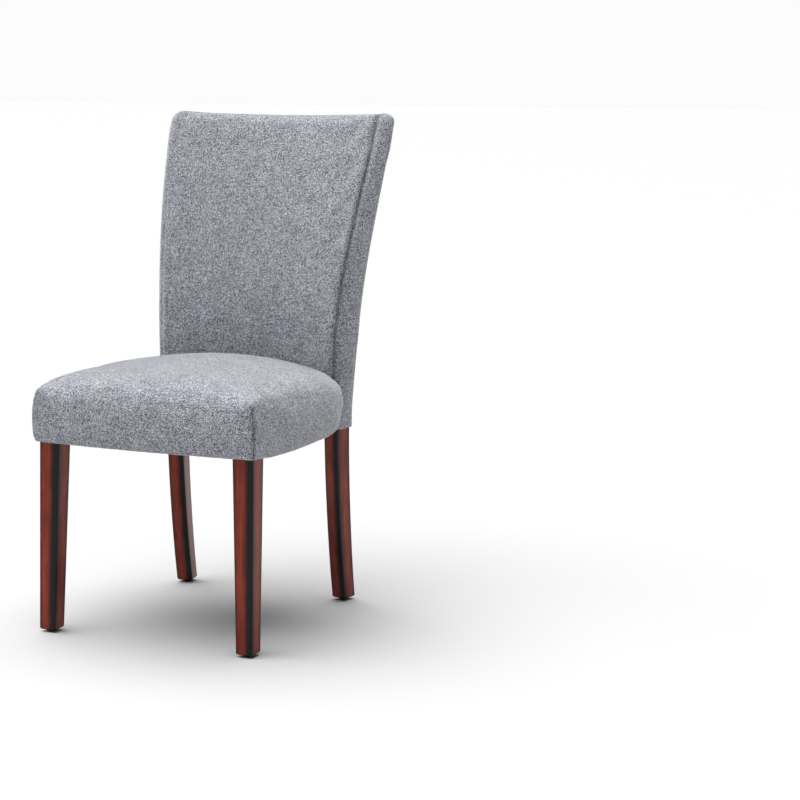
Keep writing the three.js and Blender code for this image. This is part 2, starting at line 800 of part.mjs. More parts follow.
// Outline of the seat from above: each point with its direction out of the seat, how soft the edge
// is there, from 0 to 1, and the radius of its shoulder
function seatOutline() {
  const spots = [];
  const add = (x, y, out, soft, shoulder) => {
    spots.push({ x, y, out: out.normalize(), soft, shoulder });
  };
  const frontHalf = seatHalfWidth - seatFrontRadius;
  const turnStart = seatFrontRadius - seatOverhang;
  for (let step = 0; step <= planSteps / 2; step += 1) {
    const share = 2 * step / planSteps;
    const middling = 1 - share ** seatFrontSoftPower;
    const soft = mix(seatCornerSoftness, 1, middling);
    const y = -seatOverhang - seatFrontBow * (1 - share * share);
    const out = point(2 * seatFrontBow * share / frontHalf, -1, 0);
    add(share * frontHalf, y, out, soft, mix(seatCornerShoulder, seatSideShoulder, middling));
  }
  const slant = Math.SQRT1_2;
  const turnX = frontHalf + seatFrontRadius * slant;
  const turnY = turnStart - seatFrontRadius * slant;
  add(turnX, turnY, point(1, -1, 0), seatCornerSoftness, seatCornerShoulder);
  const sideEnd = seatRear - planCurve(seatRearHalfWidth) - seatRearRadius;
  for (let step = 0; step <= planSteps; step += 1) {
    const share = step / planSteps;
    const bow = 1 - (2 * share - 1) ** 2;
    const x = mix(seatHalfWidth, seatRearHalfWidth, share) + seatSideBow * bow;
    const soft = (1 - (1 - seatCornerSoftness) * (1 - share) ** seatSideSoftPower) * (1 - share / 2);
    const shoulder = mix(seatSideShoulder, seatCornerShoulder, (1 - share) ** seatFrontSoftPower);
    add(x, mix(turnStart, sideEnd, share), point(1, 0, 0), soft, shoulder);
  }
  const rearCorner = seatRearHalfWidth - seatRearRadius;
  for (let step = 1; step <= roundSteps; step += 1) {
    const share = step / roundSteps;
    const angle = share * Math.PI / 2;
    const x = rearCorner + seatRearRadius * Math.cos(angle);
    const lift = planCurve(seatRearHalfWidth) - planCurve(x);
    const y = sideEnd + seatRearRadius * Math.sin(angle) + lift * share;
    const out = point(Math.cos(angle), Math.sin(angle), 0);
    add(x, y, out, (1 - share) / 2, mix(seatSideShoulder, seatRearShoulder, share));
  }
  for (let step = 1; step <= planSteps / 2; step += 1) {
    const x = rearCorner * (1 - 2 * step / planSteps);
    add(x, seatRear - planCurve(x), point(x / backPlanRadius, 1, 0), 0, seatRearShoulder);
  }
  const leftHalf = spots.slice(1, -1).map((spot) => (
    { ...spot, x: -spot.x, out: point(-spot.out.x, spot.out.y, 0) }));
  return spots.concat(leftHalf.toReversed());
}

// The outline moved inwards, its shoulders growing tighter as a parallel layer's do
function seatEdge(inset) {
  return seatOutline().map((spot) => ({
    ...spot,
    x: spot.x - spot.out.x * inset,
    y: spot.y - spot.out.y * inset,
    shoulder: Math.max(spot.shoulder - inset, gap),
  }));
}

// The crowned seat cushion, inset on all sides, from a level upwards
function seatCushion(inset, bottom) {
  const edge = seatEdge(inset);
  const centre = point(0, (seatRear - seatOverhang) / 2, 0);
  const rings = [];
  const topAt = (x, y) => seatTop(x, y) - inset;
  if (bottom < seatCoverBottom) {
    rings.push(edge.map((spot) => point(spot.x, spot.y, bottom)));
  }
  const base = Math.max(bottom, seatCoverBottom);
  wallHeightShares.forEach((share, level) => {
    rings.push(edge.map((spot) => {
      const swell = seatBulge * spot.soft * wallBulgeShares[level];
      const x = spot.x + spot.out.x * swell;
      const y = spot.y + spot.out.y * swell;
      const wallTop = topAt(spot.x, spot.y) - spot.shoulder;
      return point(x, y, mix(base, wallTop, share));
    }));
  });
  const lastBulge = wallBulgeShares.at(-1);
  for (let step = 1; step <= roundSteps; step += 1) {
    const angle = step / roundSteps * Math.PI / 2;
    rings.push(edge.map((spot) => {
      const swell = seatBulge * spot.soft * lastBulge * Math.cos(angle);
      const pull = spot.shoulder * (1 - Math.cos(angle)) - swell;
      const x = spot.x - spot.out.x * pull;
      const y = spot.y - spot.out.y * pull;
      const drop = spot.shoulder * (1 - Math.sin(angle));
      return point(x, y, topAt(x, y) - drop);
    }));
  }
  const shoulders = rings.at(-1);
  for (const share of topInsetShares) {
    rings.push(shoulders.map((spot) => {
      const x = mix(spot.x, centre.x, share);
      const y = mix(spot.y, centre.y, share);
      return point(x, y, topAt(x, y));
    }));
  }
  return solidOf(loft(rings));
}

// The opening inside the hem, where the cover is turned under the frame and tacked
function hemOpening(low, high) {
  const turned = coverThickness + seatHemWidth;
  const front = turned - seatOverhang;
  const rear = seatRear + overrun;
  return solidOf(loft([low, high].map((z) => [
    point(turned - seatHalfWidth, front, z), point(seatHalfWidth - turned, front, z),
    point(seatRearHalfWidth - turned, rear, z), point(turned - seatRearHalfWidth, rear, z),
  ])));
}

// Space of the seat frame and webbing above a level, for the cushion that is fitted over it
function seatFrameSpace(grow, low) {
  const { start, end } = sideRailLine(right);
  const halfFront = frontLegHalfSpan + grow;
  const rear = seatRear + backThickness;
  const slope = (end.x - start.x) / (end.y - start.y);
  const halfRear = halfFront + (rear - frontLegDepth) * slope;
  const high = webbingTop + webbingThickness + gap + grow;
  const plan = (z) => [
    point(-halfFront, -grow, z), point(halfFront, -grow, z), point(halfFront, frontLegDepth, z),
    point(halfRear, rear, z), point(-halfRear, rear, z), point(-halfFront, frontLegDepth, z),
  ];
  return solidOf(loft([plan(low), plan(high)]));
}

function placeSeatCushion() {
  const hemTop = seatCoverBottom + coverThickness;
  const posts = rearPost(left, gap).add(rearPost(right, gap));
  const legs = frontLeg(left, gap).add(frontLeg(right, gap));
  const inner = seatCushion(coverThickness, hemTop);
  const opening = hemOpening(seatCoverBottom - overrun, hemTop + gap);
  const cover = without(seatCushion(0, seatCoverBottom), [
    inner, opening, seatFrameSpace(gap, hemTop), posts, legs,
  ]);
  placeSolid("seat_cover", cover, fabric);
  const pad = without(seatCushion(coverThickness + gap, hemTop + gap), [
    seatFrameSpace(gap, seatCoverBottom), posts, legs,
  ]);
  placeSolid("seat_foam", pad, foam);
}

// Plan of the upholstered back at one level, inset on all sides
function backRing(z, inset, topInset) {
  const shrink = inset + topInset;
  const front = backFront(z) + shrink;
  const depth = backDepth(z) - 2 * shrink;
  const halfFront = backHalfWidth(z) - shrink;
  const halfRear = halfFront + backFlare(z) * depth / backDepth(z);
  const rounding = (radius) => Math.min(Math.max(radius - inset, gap), depth * backRoundingShare);
  const frontRound = rounding(backFrontRadius);
  const rearRound = rounding(backRearRadius);
  const slant = 1 - Math.SQRT1_2;
  const half = [];
  for (let step = 0; step <= planSteps / 2; step += 1) {
    half.push([mix(0, halfFront - frontRound, 2 * step / planSteps), 0]);
  }
  half.push([halfFront - frontRound * slant, frontRound * slant], [halfFront, frontRound]);
  half.push([(halfFront + halfRear) / 2 + backSideBulge, depth / 2]);
  half.push([halfRear, depth - rearRound], [halfRear - rearRound * slant, depth - rearRound * slant]);
  for (let step = planSteps / 2; step >= 0; step -= 1) {
    half.push([mix(0, halfRear - rearRound, 2 * step / planSteps), depth]);
  }
  const mirrored = half.filter(([x]) => x > 0).map(([x, y]) => [-x, y]).toReversed();
  const dipShare = Math.max((z - backHeight + backTopDipDepth) / backTopDipDepth, 0);
  return half.concat(mirrored).map(([x, y]) => {
    const across = x / halfFront;
    const dip = backTopDip * dipShare * Math.max(1 - across * across, 0);
    return point(x, front + y - planCurve(x), z - dip);
  });
}

// The whole upholstered back, inset on all sides, from a level upwards
function backCushion(inset, bottom) {
  const rings = [backRing(bottom, inset, 0), backRing(backSweepStart, inset, 0)];
  for (let step = 1; step <= backSteps; step += 1) {
    rings.push(backRing(mix(backSweepStart, topRoundStart, step / backSteps), inset, 0));
  }
  const radius = Math.max(backTopRadius - inset, gap);
  for (let step = 1; step <= capSteps; step += 1) {
    const angle = step / (capSteps + 1) * Math.PI / 2;
    const z = topRoundStart + radius * Math.sin(angle);
    rings.push(backRing(z, inset, radius * (1 - Math.cos(angle))));
  }
  return solidOf(loft(rings));
}

// Space between two depths of the back, each a distance behind its front face
function backSpace(halfWidth, front, rear, levels) {
  const rings = levels.map((z) => {
    const half = halfWidth(z);
    const ring = [];
    for (let step = 0; step <= planSteps; step += 1) {
      const x = mix(-half, half, step / planSteps);
      ring.push(point(x, front(z) - planCurve(x), z));
    }
    for (let step = planSteps; step >= 0; step -= 1) {
      const x = mix(-half, half, step / planSteps);
      ring.push(point(x, rear(z) - planCurve(x), z));
    }
    return ring;
  });
  return solidOf(loft(rings));
}

function levelsBetween(low, high) {
  const levels = [low];
  for (let step = 0; step <= backSteps; step += 1) {
    const z = mix(backSweepStart, topRoundStart, step / backSteps);
    if (z > low && z < high) {
      levels.push(z);
    }
  }
  return levels.concat(high);
}

// Half the width of the opening in the outside back, which widens towards its top
function windowHalf(z) {
  const share = Math.max((z - windowSpreadStart) / (backSeamHeight - windowSpreadStart), 0);
  return windowHalfWidth + windowSpread * share ** windowSpreadPower;
}

function backRear(z) {
  return backFront(z) + backDepth(z);
}

function placeBackCushion() {
  const low = backBottom - overrun;
  const half = (z) => backFront(z) + backDepth(z) / 2;
  const beyond = (z) => backRear(z) + overrun;
  const rearOpening = backSpace(windowHalf, half, beyond, levelsBetween(low, backSeamHeight));
  const wide = (z) => backHalfWidth(z) + backSideFlare + overrun;
  const ahead = (z) => backFront(z) - overrun;
  const behindFront = (z) => frameFront(z) - gap;
  const tuckHigh = Math.max(tuckHeight, webbingTop + webbingThickness + 2 * gap);
  const tuckHalf = (z) => backHalfWidth(z) - coverThickness - gap;
  const frontTuck = backSpace(tuckHalf, ahead, behindFront, [low, tuckHigh]);
  const inner = backCushion(coverThickness, low);
  const posts = rearPost(left, gap).add(rearPost(right, gap));
  const cover = without(backCushion(0, backBottom), [inner, rearOpening, frontTuck, posts]);
  placeSolid("back_cover", cover, fabric);

  const frameHigh = backHeight - backTopPad + gap;
  const frameLevels = levelsBetween(low, frameHigh);
  const frameHalf = (z) => postX(z) + postWidth / 2 + gap;
  const facets = gap + railFacetRise + profileFacetRise;
  const strapFront = (z) => frameFront(z) - webbingBehind - webbingThickness - facets;
  const frameRear = (z) => frameFront(z) + postDepth(z) + facets;
  const frameSpace = backSpace(frameHalf, strapFront, frameRear, frameLevels);
  const seatSpace = backSpace(wide, ahead, half, [low, tuckHigh]);
  const pad = without(backCushion(coverThickness + gap, backBottom + gap), [
    frameSpace, rearOpening, seatSpace, posts,
  ]);
  placeSolid("back_foam", pad, foam);
}

// Outside back panel between the welts, just below the face of the borders
function placeOutsideBack() {
  const halfWidth = (z) => windowHalf(z) - weltDiameter - gap - gap;
  const front = (z) => backRear(z) - panelRecess - panelThickness;
  const rear = (z) => backRear(z) - panelRecess;
  const levels = levelsBetween(panelBottom, backSeamHeight - gap);
  place("outside_back_panel", geometryOf(backSpace(halfWidth, front, rear, levels)), fabric);
}

// Welt cords along the two upright edges of the outside back panel
function placeWelts() {
  const section = new THREE.Shape();
  section.absarc(0, 0, weltDiameter / 2, 0, 2 * Math.PI);
  for (const [side, name] of [[left, "left"], [right, "right"]]) {
    const high = backSeamHeight - gap - weltDiameter / 2;
    const spots = levelsBetween(backBottom, high).map((z) => {
      const x = windowHalf(z) - weltDiameter / 2 - gap;
      const y = backRear(z) - planCurve(x) - weltDiameter / 2 + weltProud;
      return point(side * x, y, z);
    });
    const extrudePath = new THREE.CatmullRomCurve3(spots);
    const settings = { steps: backSteps + capSteps, bevelEnabled: false, extrudePath };
    settings.curveSegments = weltSides;
    place(`welt_cord_${name}`, new THREE.ExtrudeGeometry(section, settings), fabric);
  }
}

// Black cloth tacked under the seat frame, cut round the legs
function placeDustCover() {
  const { start, end } = sideRailLine(right);
  const top = seatCoverBottom - gap;
  const frontHalf = frontLegHalfSpan - dustCoverInset;
  const rearFront = frameFront(frameUndersideHeight) + postSeatDepth - railThickness / 2;
  const slope = (end.x - start.x) / (end.y - start.y);
  const ring = (z) => {
    const spots = [point(-frontHalf, dustCoverInset, z), point(frontHalf, dustCoverInset, z)];
    const rearY = rearFront - planCurve(postHalfSpan);
    const rearHalf = frontHalf + (rearY - frontLegDepth) * slope;
    for (let step = 0; step <= planSteps; step += 1) {
      const x = mix(rearHalf, -rearHalf, step / planSteps);
      spots.push(point(x, rearFront - planCurve(x), z));
    }
    return spots;
  };
  let sheet = solidOf(loft([ring(top - dustCoverThickness), ring(top)]));
  for (const side of [left, right]) {
    sheet = sheet.subtract(frontLeg(side, gap)).subtract(rearPost(side, gap));
  }
  placeSolid("dust_cover", sheet, cambric);
}

// Nail of a glide, and the same grown for its hole
function nailGeometry(grow) {
  const head = nailHeadRadius + grow;
  const shank = nailRadius + grow;
  const underHead = glideHeight - glideLip;
  const top = underHead + nailLength + grow;
  const profile = [
    [0, underHead - nailHeadHeight - grow], [head, underHead - nailHeadHeight - grow],
    [head, underHead], [shank, underHead], [shank, top - nailPoint], [0, top],
  ];
  return new THREE.LatheGeometry(
    profile.map(([radius, z]) => new THREE.Vector2(radius, z)), circleSteps).rotateX(Math.PI / 2);
}

// The way for the nail head from below
function nailWay() {
  const head = nailHeadRadius + gap;
  const low = -overrun;
  const high = glideHeight - glideLip;
  const geometry = new THREE.CylinderGeometry(head, head, high - low, circleSteps);
  return geometry.rotateX(Math.PI / 2).translate(0, 0, (low + high) / 2);
}

function glideSpots() {
  const frontX = frontLegHalfSpan + frontFootFlare - frontFootWidth / 2;
  const frontY = frontFootDepth / 2 - frontFootKick;
  const rearY = postSeatY + rearFootKick;
  return [
    ["front_left", -frontX, frontY], ["front_right", frontX, frontY],
    ["rear_left", -postHalfSpan, rearY], ["rear_right", postHalfSpan, rearY],
  ];
}

// Plastic glides, each held by a nail driven up into the foot of a leg
function placeGlides() {
  const top = glideHeight - gap;
  const profile = [
    [0, 0], [glideBottomRadius, 0], [glideTopRadius, top - glideLip], [glideTopRadius, top], [0, top],
  ];
  const body = new THREE.LatheGeometry(
    profile.map(([radius, z]) => new THREE.Vector2(radius, z)), circleSteps).rotateX(Math.PI / 2);
  const bored = solidOf(body).subtract(solidOf(nailGeometry(gap))).subtract(solidOf(nailWay()));
  for (const [name, x, y] of glideSpots()) {
    place(`glide_${name}`, geometryOf(bored).translate(x, y, 0), plastic);
    place(`glide_nail_${name}`, nailGeometry(0).translate(x, y, 0), steel);
  }
}

placeLegsAndSeatFrame();
placeBackFrame();
placeSeatWebbing();
placeBackWebbing();
placeSeatCushion();
placeBackCushion();
placeOutsideBack();
placeWelts();
placeDustCover();
placeGlides();

const extent = new THREE.Box3().setFromObject(chair);
const middle = extent.getCenter(new THREE.Vector3());
chair.position.set(-middle.x, -middle.y, -extent.min.z);

export default chair;
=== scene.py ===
"""An upholstered parsons dining chair: stained hardwood legs, woven cover, welted outside back.

The sections follow the chair as it is put together: legs, frame, webbing, foam, covers, outside
back, dust cover, glides. Lengths are in metres, +Z is up, and the chair faces -Y.
"""
import math

import bmesh
import bpy
import numpy as np
from mathutils import Matrix, Vector, noise
from mathutils.bvhtree import BVHTree
from mathutils.kdtree import KDTree


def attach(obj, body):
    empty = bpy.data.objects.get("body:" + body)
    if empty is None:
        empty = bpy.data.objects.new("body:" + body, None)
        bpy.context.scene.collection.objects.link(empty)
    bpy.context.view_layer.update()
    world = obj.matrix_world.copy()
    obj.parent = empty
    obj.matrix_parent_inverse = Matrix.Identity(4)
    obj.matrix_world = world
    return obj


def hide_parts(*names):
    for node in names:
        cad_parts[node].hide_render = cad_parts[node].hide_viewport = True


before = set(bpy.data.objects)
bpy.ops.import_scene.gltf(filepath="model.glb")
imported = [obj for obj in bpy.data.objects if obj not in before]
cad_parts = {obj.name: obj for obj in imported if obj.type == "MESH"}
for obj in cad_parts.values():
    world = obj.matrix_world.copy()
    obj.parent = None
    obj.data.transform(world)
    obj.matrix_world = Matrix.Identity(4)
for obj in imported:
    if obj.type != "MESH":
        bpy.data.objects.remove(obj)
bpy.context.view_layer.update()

# Camera: where the photograph's camera stood, seen by the front three-quarter view of the chair.
# A 95 mm lens on a 36 mm sensor, a little above the top of the back and turned slightly down.
camera = bpy.data.objects.new("camera", bpy.data.cameras.new("camera"))
camera.location = (1.9949, -3.5458, 1.0417)
camera.rotation_euler = [math.radians(turn) for turn in (81.241, -0.232, 24.477)]
camera.data.lens = 95.39
camera.data.sensor_width = 36
bpy.context.collection.objects.link(camera)
bpy.context.scene.camera = camera


# Legs: rubberwood stained mahogany red, with the long edges burnished nearly black by hand and a
# satin lacquer over both. Each front leg is tapered, and each rear leg runs up into the back as
# its stile. The solids carry the mortises, so the pieces are made from them.
def linear(colour):
    """An sRGB colour such as "7a3a2e" as Blender's linear red, green, blue and alpha"""
    parts = [int(colour[start:start + 2], 16) / 255 for start in (0, 2, 4)]
    return [c / 12.92 if c <= 0.04045 else ((c + 0.055) / 1.055) ** 2.4 for c in parts] + [1]


def add(tree, kind, settings=(), links=()):
    """Adds a node, with settings by name, and links by input name or number"""
    node = tree.nodes.new("ShaderNode" + kind)
    for name, value in dict(settings).items():
        if isinstance(name, int) or name in node.inputs:
            node.inputs[name].default_value = value
        else:
            setattr(node, name, value)
    for name, source in dict(links).items():
        tree.links.new(source, node.inputs[name])
    return node


def colour_stops(ramp, stops):
    """Puts colours on a colour ramp, at their places from 0 to 1"""
    elements = ramp.color_ramp.elements
    while len(elements) < len(stops):
        elements.new(1)
    for element, (place, colour) in zip(elements, stops):
        element.position = place
        element.color = linear(colour)


def start_material(name, **shader):
    """A new material with its Principled shader's own values set"""
    material = bpy.data.materials.new(name)
    material.use_nodes = True
    tree = material.node_tree
    bsdf = tree.nodes["Principled BSDF"]
    for key, value in shader.items():
        bsdf.inputs[key.replace("_", " ")].default_value = value
    return material, tree, bsdf


# Stained rubberwood: short brown grain lines along the leg under the stain, darker where it pooled
stained_wood, tree, shader = start_material(
    "stained_rubberwood", Roughness=0.3, IOR=1.5, Specular_IOR_Level=0.2, Coat_Weight=0.1,
    Coat_IOR=1.3, Coat_Roughness=0.15)
place = add(tree, "TexCoord").outputs["Object"]
along = add(tree, "Mapping", {"Scale": (210, 210, 7)}, {"Vector": place})
grain = add(
    tree, "TexNoise", {"Scale": 1, "Detail": 4, "Roughness": 0.6}, {"Vector": along.outputs[0]})
cloud = add(tree, "TexNoise", {"Scale": 16, "Detail": 2}, {"Vector": place})
tone = add(tree, "Math", {"operation": "MULTIPLY_ADD", 1: 0.62}, {0: grain.outputs[0]})
mixed = add(tree, "Math", {"operation": "MULTIPLY", 1: 0.38}, {0: cloud.outputs[0]})
tree.links.new(mixed.outputs[0], tone.inputs[2])
stain = add(tree, "ValToRGB", {}, {0: tone.outputs[0]})
colour_stops(stain, [(0.3, "58160c"), (0.5, "7f2d1b"), (0.72, "9d4229")])
face = add(tree, "UVMap", {"uv_map": "arris"})
across = add(tree, "SeparateXYZ", {}, {0: face.outputs[0]})
near = add(tree, "Math", {"operation": "ABSOLUTE"}, {0: across.outputs[0]})
wobble = add(tree, "TexNoise", {"Scale": 30, "Detail": 2}, {"Vector": place})
uneven = add(
    tree, "Math", {"operation": "MULTIPLY_ADD", 1: 0.3, 2: -0.15}, {0: wobble.outputs[0]})
reach = add(tree, "Math", {"operation": "ADD"}, {0: near.outputs[0], 1: uneven.outputs[0]})
burnish = add(
    tree, "MapRange", {"interpolation_type": "SMOOTHSTEP", 1: 0.2, 2: 0.85},
    {0: reach.outputs[0]})
colour = add(tree, "Mix", {"data_type": "RGBA"}, {0: burnish.outputs[0], 6: stain.outputs[0]})
colour.inputs[7].default_value = linear("0d0809")
tree.links.new(colour.outputs[2], shader.inputs["Base Color"])
pores = add(tree, "Bump", {"Strength": 0.12, "Distance": 0.0003}, {"Height": grain.outputs[0]})
tree.links.new(pores.outputs[0], shader.inputs["Normal"])


def merged_copy(node):
    """A bmesh of a CAD node with its loose triangles joined up"""
    mesh = bmesh.new()
    mesh.from_mesh(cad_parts[node].data)
    bmesh.ops.remove_doubles(mesh, verts=mesh.verts, dist=0.00001)
    bmesh.ops.dissolve_limit(
        mesh, angle_limit=math.radians(0.5), verts=mesh.verts, edges=mesh.edges)
    return mesh


def finish_piece(name, mesh, material, nodes):
    """Makes an object of a bmesh with the given material, attached to the root body, and hides the
    CAD nodes it replaces
    """
    data = bpy.data.meshes.new(name)
    mesh.to_mesh(data)
    mesh.free()
    piece = bpy.data.objects.new(name, data)
    bpy.context.collection.objects.link(piece)
    data.materials.append(material)
    data.shade_smooth()
    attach(piece, "root")
    if nodes:
        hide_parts(*nodes)
    return piece


def leg_sides(mesh, middle_and_half):
    """Maps each face from about -1 to 1 between the leg's long edges, for the burnished edges,
    which are broadest on the front faces towards +X and narrower at the back of the side faces"""
    layer = mesh.loops.layers.uv.new("arris")
    for face in mesh.faces:
        for loop in face.loops:
            spot = loop.vert.co
            turn, middle, half = middle_and_half(spot.z)
            flat = turn @ Vector((spot.x - middle[0], spot.y - middle[1]))
            normal = turn @ face.normal.xy
            wide = abs(normal.x) > abs(normal.y)
            share = 0.85 * flat.y / half[1] - 0.05 if wide else flat.x / half[0] + 0.25
            loop[layer].uv = (share, spot.z)


leg_top = 0.365
foot = 0.005
legs_front = -0.28236
front_half_span = 0.2255
front_half_width, front_width_taper = 0.0213, 0.0045
front_half_depth, front_depth_taper = 0.0205, 0.00335
front_splay, front_rake = 0.0013, 0.0118
rear_half_span = 0.1802
rear_middle = 0.14656
rear_half_width = 0.0164
rear_half_depth, rear_depth_taper = 0.0209, 0.0038
rear_kick, kick_power = 0.0307, 1.9
back_plan_radius = 0.903


def leg_share(z):
    """How far down a leg a height lies, from 0 under the seat to 1 at the foot"""
    return min(max((leg_top - z) / (leg_top - foot), 0), 1)


def front_leg_at(side):
    """The turn, middle and half size of a front leg's section, by its height"""
    def at(z):
        share = leg_share(z)
        half = (front_half_width - front_width_taper * share,
                front_half_depth - front_depth_taper * share)
        x = side * (front_half_span + front_splay * share - half[0])
        return Matrix.Identity(2), (x, half[1] - front_rake * share + legs_front), half
    return at


def rear_leg_at(side):
    """The same of a rear leg, which is turned to follow the curve of the back"""
    tilt = side * math.asin(rear_half_span / back_plan_radius)
    turn = Matrix(((math.cos(tilt), -math.sin(tilt)), (math.sin(tilt), math.cos(tilt))))

    def at(z):
        share = leg_share(z)
        y = rear_middle + rear_kick * share ** kick_power
        half = (rear_half_width, rear_half_depth - rear_depth_taper * share)
        return turn, (side * rear_half_span, y), half
    return at


for side, name in ((-1, "left"), (1, "right")):
    for node, shape in (("front_leg_" + name, front_leg_at(side)),
                        ("rear_leg_and_stile_" + name, rear_leg_at(side))):
        mesh = merged_copy(node)
        leg_sides(mesh, shape)
        leg = finish_piece("stained_" + node, mesh, stained_wood, [node])
        even = leg.modifiers.new("even shading", "WEIGHTED_NORMAL")
        even.weight = 80


# Frame: sawn rubberwood rails with tenons glued into the legs and stiles, and glued and screwed
# corner blocks. It is hidden by the upholstery and left unfinished.
raw_wood, tree, shader = start_material("sawn_rubberwood", Roughness=0.75, IOR=1.5)
place = add(tree, "TexCoord").outputs["Object"]
along = add(tree, "Mapping", {"Scale": (12, 90, 160)}, {"Vector": place})
grain = add(
    tree, "TexNoise", {"Scale": 1, "Detail": 5, "Roughness": 0.65}, {"Vector": along.outputs[0]})
bare = add(tree, "ValToRGB", {}, {0: grain.outputs[0]})
colour_stops(bare, [(0.3, "a97c4c"), (0.55, "c9a374"), (0.75, "dcbf93")])
tree.links.new(bare.outputs[0], shader.inputs["Base Color"])
sawn = add(tree, "Bump", {"Strength": 0.3, "Distance": 0.0004}, {"Height": grain.outputs[0]})
tree.links.new(sawn.outputs[0], shader.inputs["Normal"])

# Zinc-plated steel screws and nails: bright, a little uneven
steel, tree, shader = start_material("zinc_plated_steel", Metallic=1, Roughness=0.38)
place = add(tree, "TexCoord").outputs["Object"]
spangle = add(tree, "TexNoise", {"Scale": 900, "Detail": 2}, {"Vector": place})
zinc = add(tree, "ValToRGB", {}, {0: spangle.outputs[0]})
colour_stops(zinc, [(0.35, "8f9193"), (0.65, "b9bbbc")])
tree.links.new(zinc.outputs[0], shader.inputs["Base Color"])


def refinish(starts, material):
    """Gives a material to the CAD nodes whose names start in one of these ways"""
    for name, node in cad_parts.items():
        if name.startswith(starts):
            node.data.materials.clear()
            node.data.materials.append(material)


refinish(("seat_rail", "back_rail", "corner_block"), raw_wood)
refinish(("block_screw", "glide_nail"), steel)


# Webbing: elastic upholstery webbing, black rubber and polyester ribs across the strap with a
# lighter yarn, tacked to the tops of the seat rails and to the fronts of the back rails.
elastic, tree, shader = start_material("elastic_webbing", Roughness=0.8, IOR=1.5)
place = add(tree, "TexCoord").outputs["Object"]
ribs = add(tree, "Mapping", {"Scale": (700, 700, 700)}, {"Vector": place})
yarn = add(tree, "TexNoise", {"Scale": 1, "Detail": 1}, {"Vector": ribs.outputs[0]})
strap = add(tree, "ValToRGB", {}, {0: yarn.outputs[0]})
colour_stops(strap, [(0.4, "1d1d20"), (0.6, "37373b"), (0.75, "5a5a60")])
tree.links.new(strap.outputs[0], shader.inputs["Base Color"])
woven = add(tree, "Bump", {"Strength": 0.5, "Distance": 0.0005}, {"Height": yarn.outputs[0]})
tree.links.new(woven.outputs[0], shader.inputs["Normal"])
refinish(("seat_webbing", "back_webbing"), elastic)


# Foam: open-cell polyurethane, a crowned slab over the seat frame and a thinner wrap round the
# front, sides and top of the back frame. The cut blocks are softened at their edges.
foam, tree, shader = start_material("polyurethane_foam", Roughness=0.95, IOR=1.4)
place = add(tree, "TexCoord").outputs["Object"]
cells = add(tree, "TexVoronoi", {"Scale": 900}, {"Vector": place})
yellowed = add(tree, "ValToRGB", {}, {0: cells.outputs[0]})
colour_stops(yellowed, [(0.1, "cbbf94"), (0.6, "efe7cb")])
tree.links.new(yellowed.outputs[0], shader.inputs["Base Color"])
pitted = add(tree, "Bump", {"Strength": 0.5, "Distance": 0.0006}, {"Height": cells.outputs[0]})
tree.links.new(pitted.outputs[0], shader.inputs["Normal"])


def cut_foam(node):
    """A pad of foam with its cut edges softened, as a mesh of even cells"""
    pad = finish_piece("soft_" + node, merged_copy(node), foam, [node])
    grid = pad.modifiers.new("cells", "REMESH")
    grid.mode = "VOXEL"
    grid.voxel_size = 0.005
    softened = pad.modifiers.new("softened", "SMOOTH")
    softened.factor = 0.5
    softened.iterations = 4
    cells = pad.evaluated_get(bpy.context.evaluated_depsgraph_get())
    pad.modifiers.clear()
    pad.data = bpy.data.meshes.new_from_object(cells)
    pad.data.shade_smooth()
    return pad


def hold_in(pad, cover, gap):
    """Presses foam in wherever it would come through its cover"""
    search = 0.02
    surface = BVHTree.FromPolygons(
        [vertex.co for vertex in cover.data.vertices],
        [face.vertices for face in cover.data.polygons])
    for vertex in pad.data.vertices:
        spot, normal, _, _ = surface.find_nearest(vertex.co, search)
        if spot and (vertex.co - spot).dot(normal) > -gap:
            vertex.co = spot - normal * gap


seat_pad = cut_foam("seat_foam")
back_pad = cut_foam("back_foam")


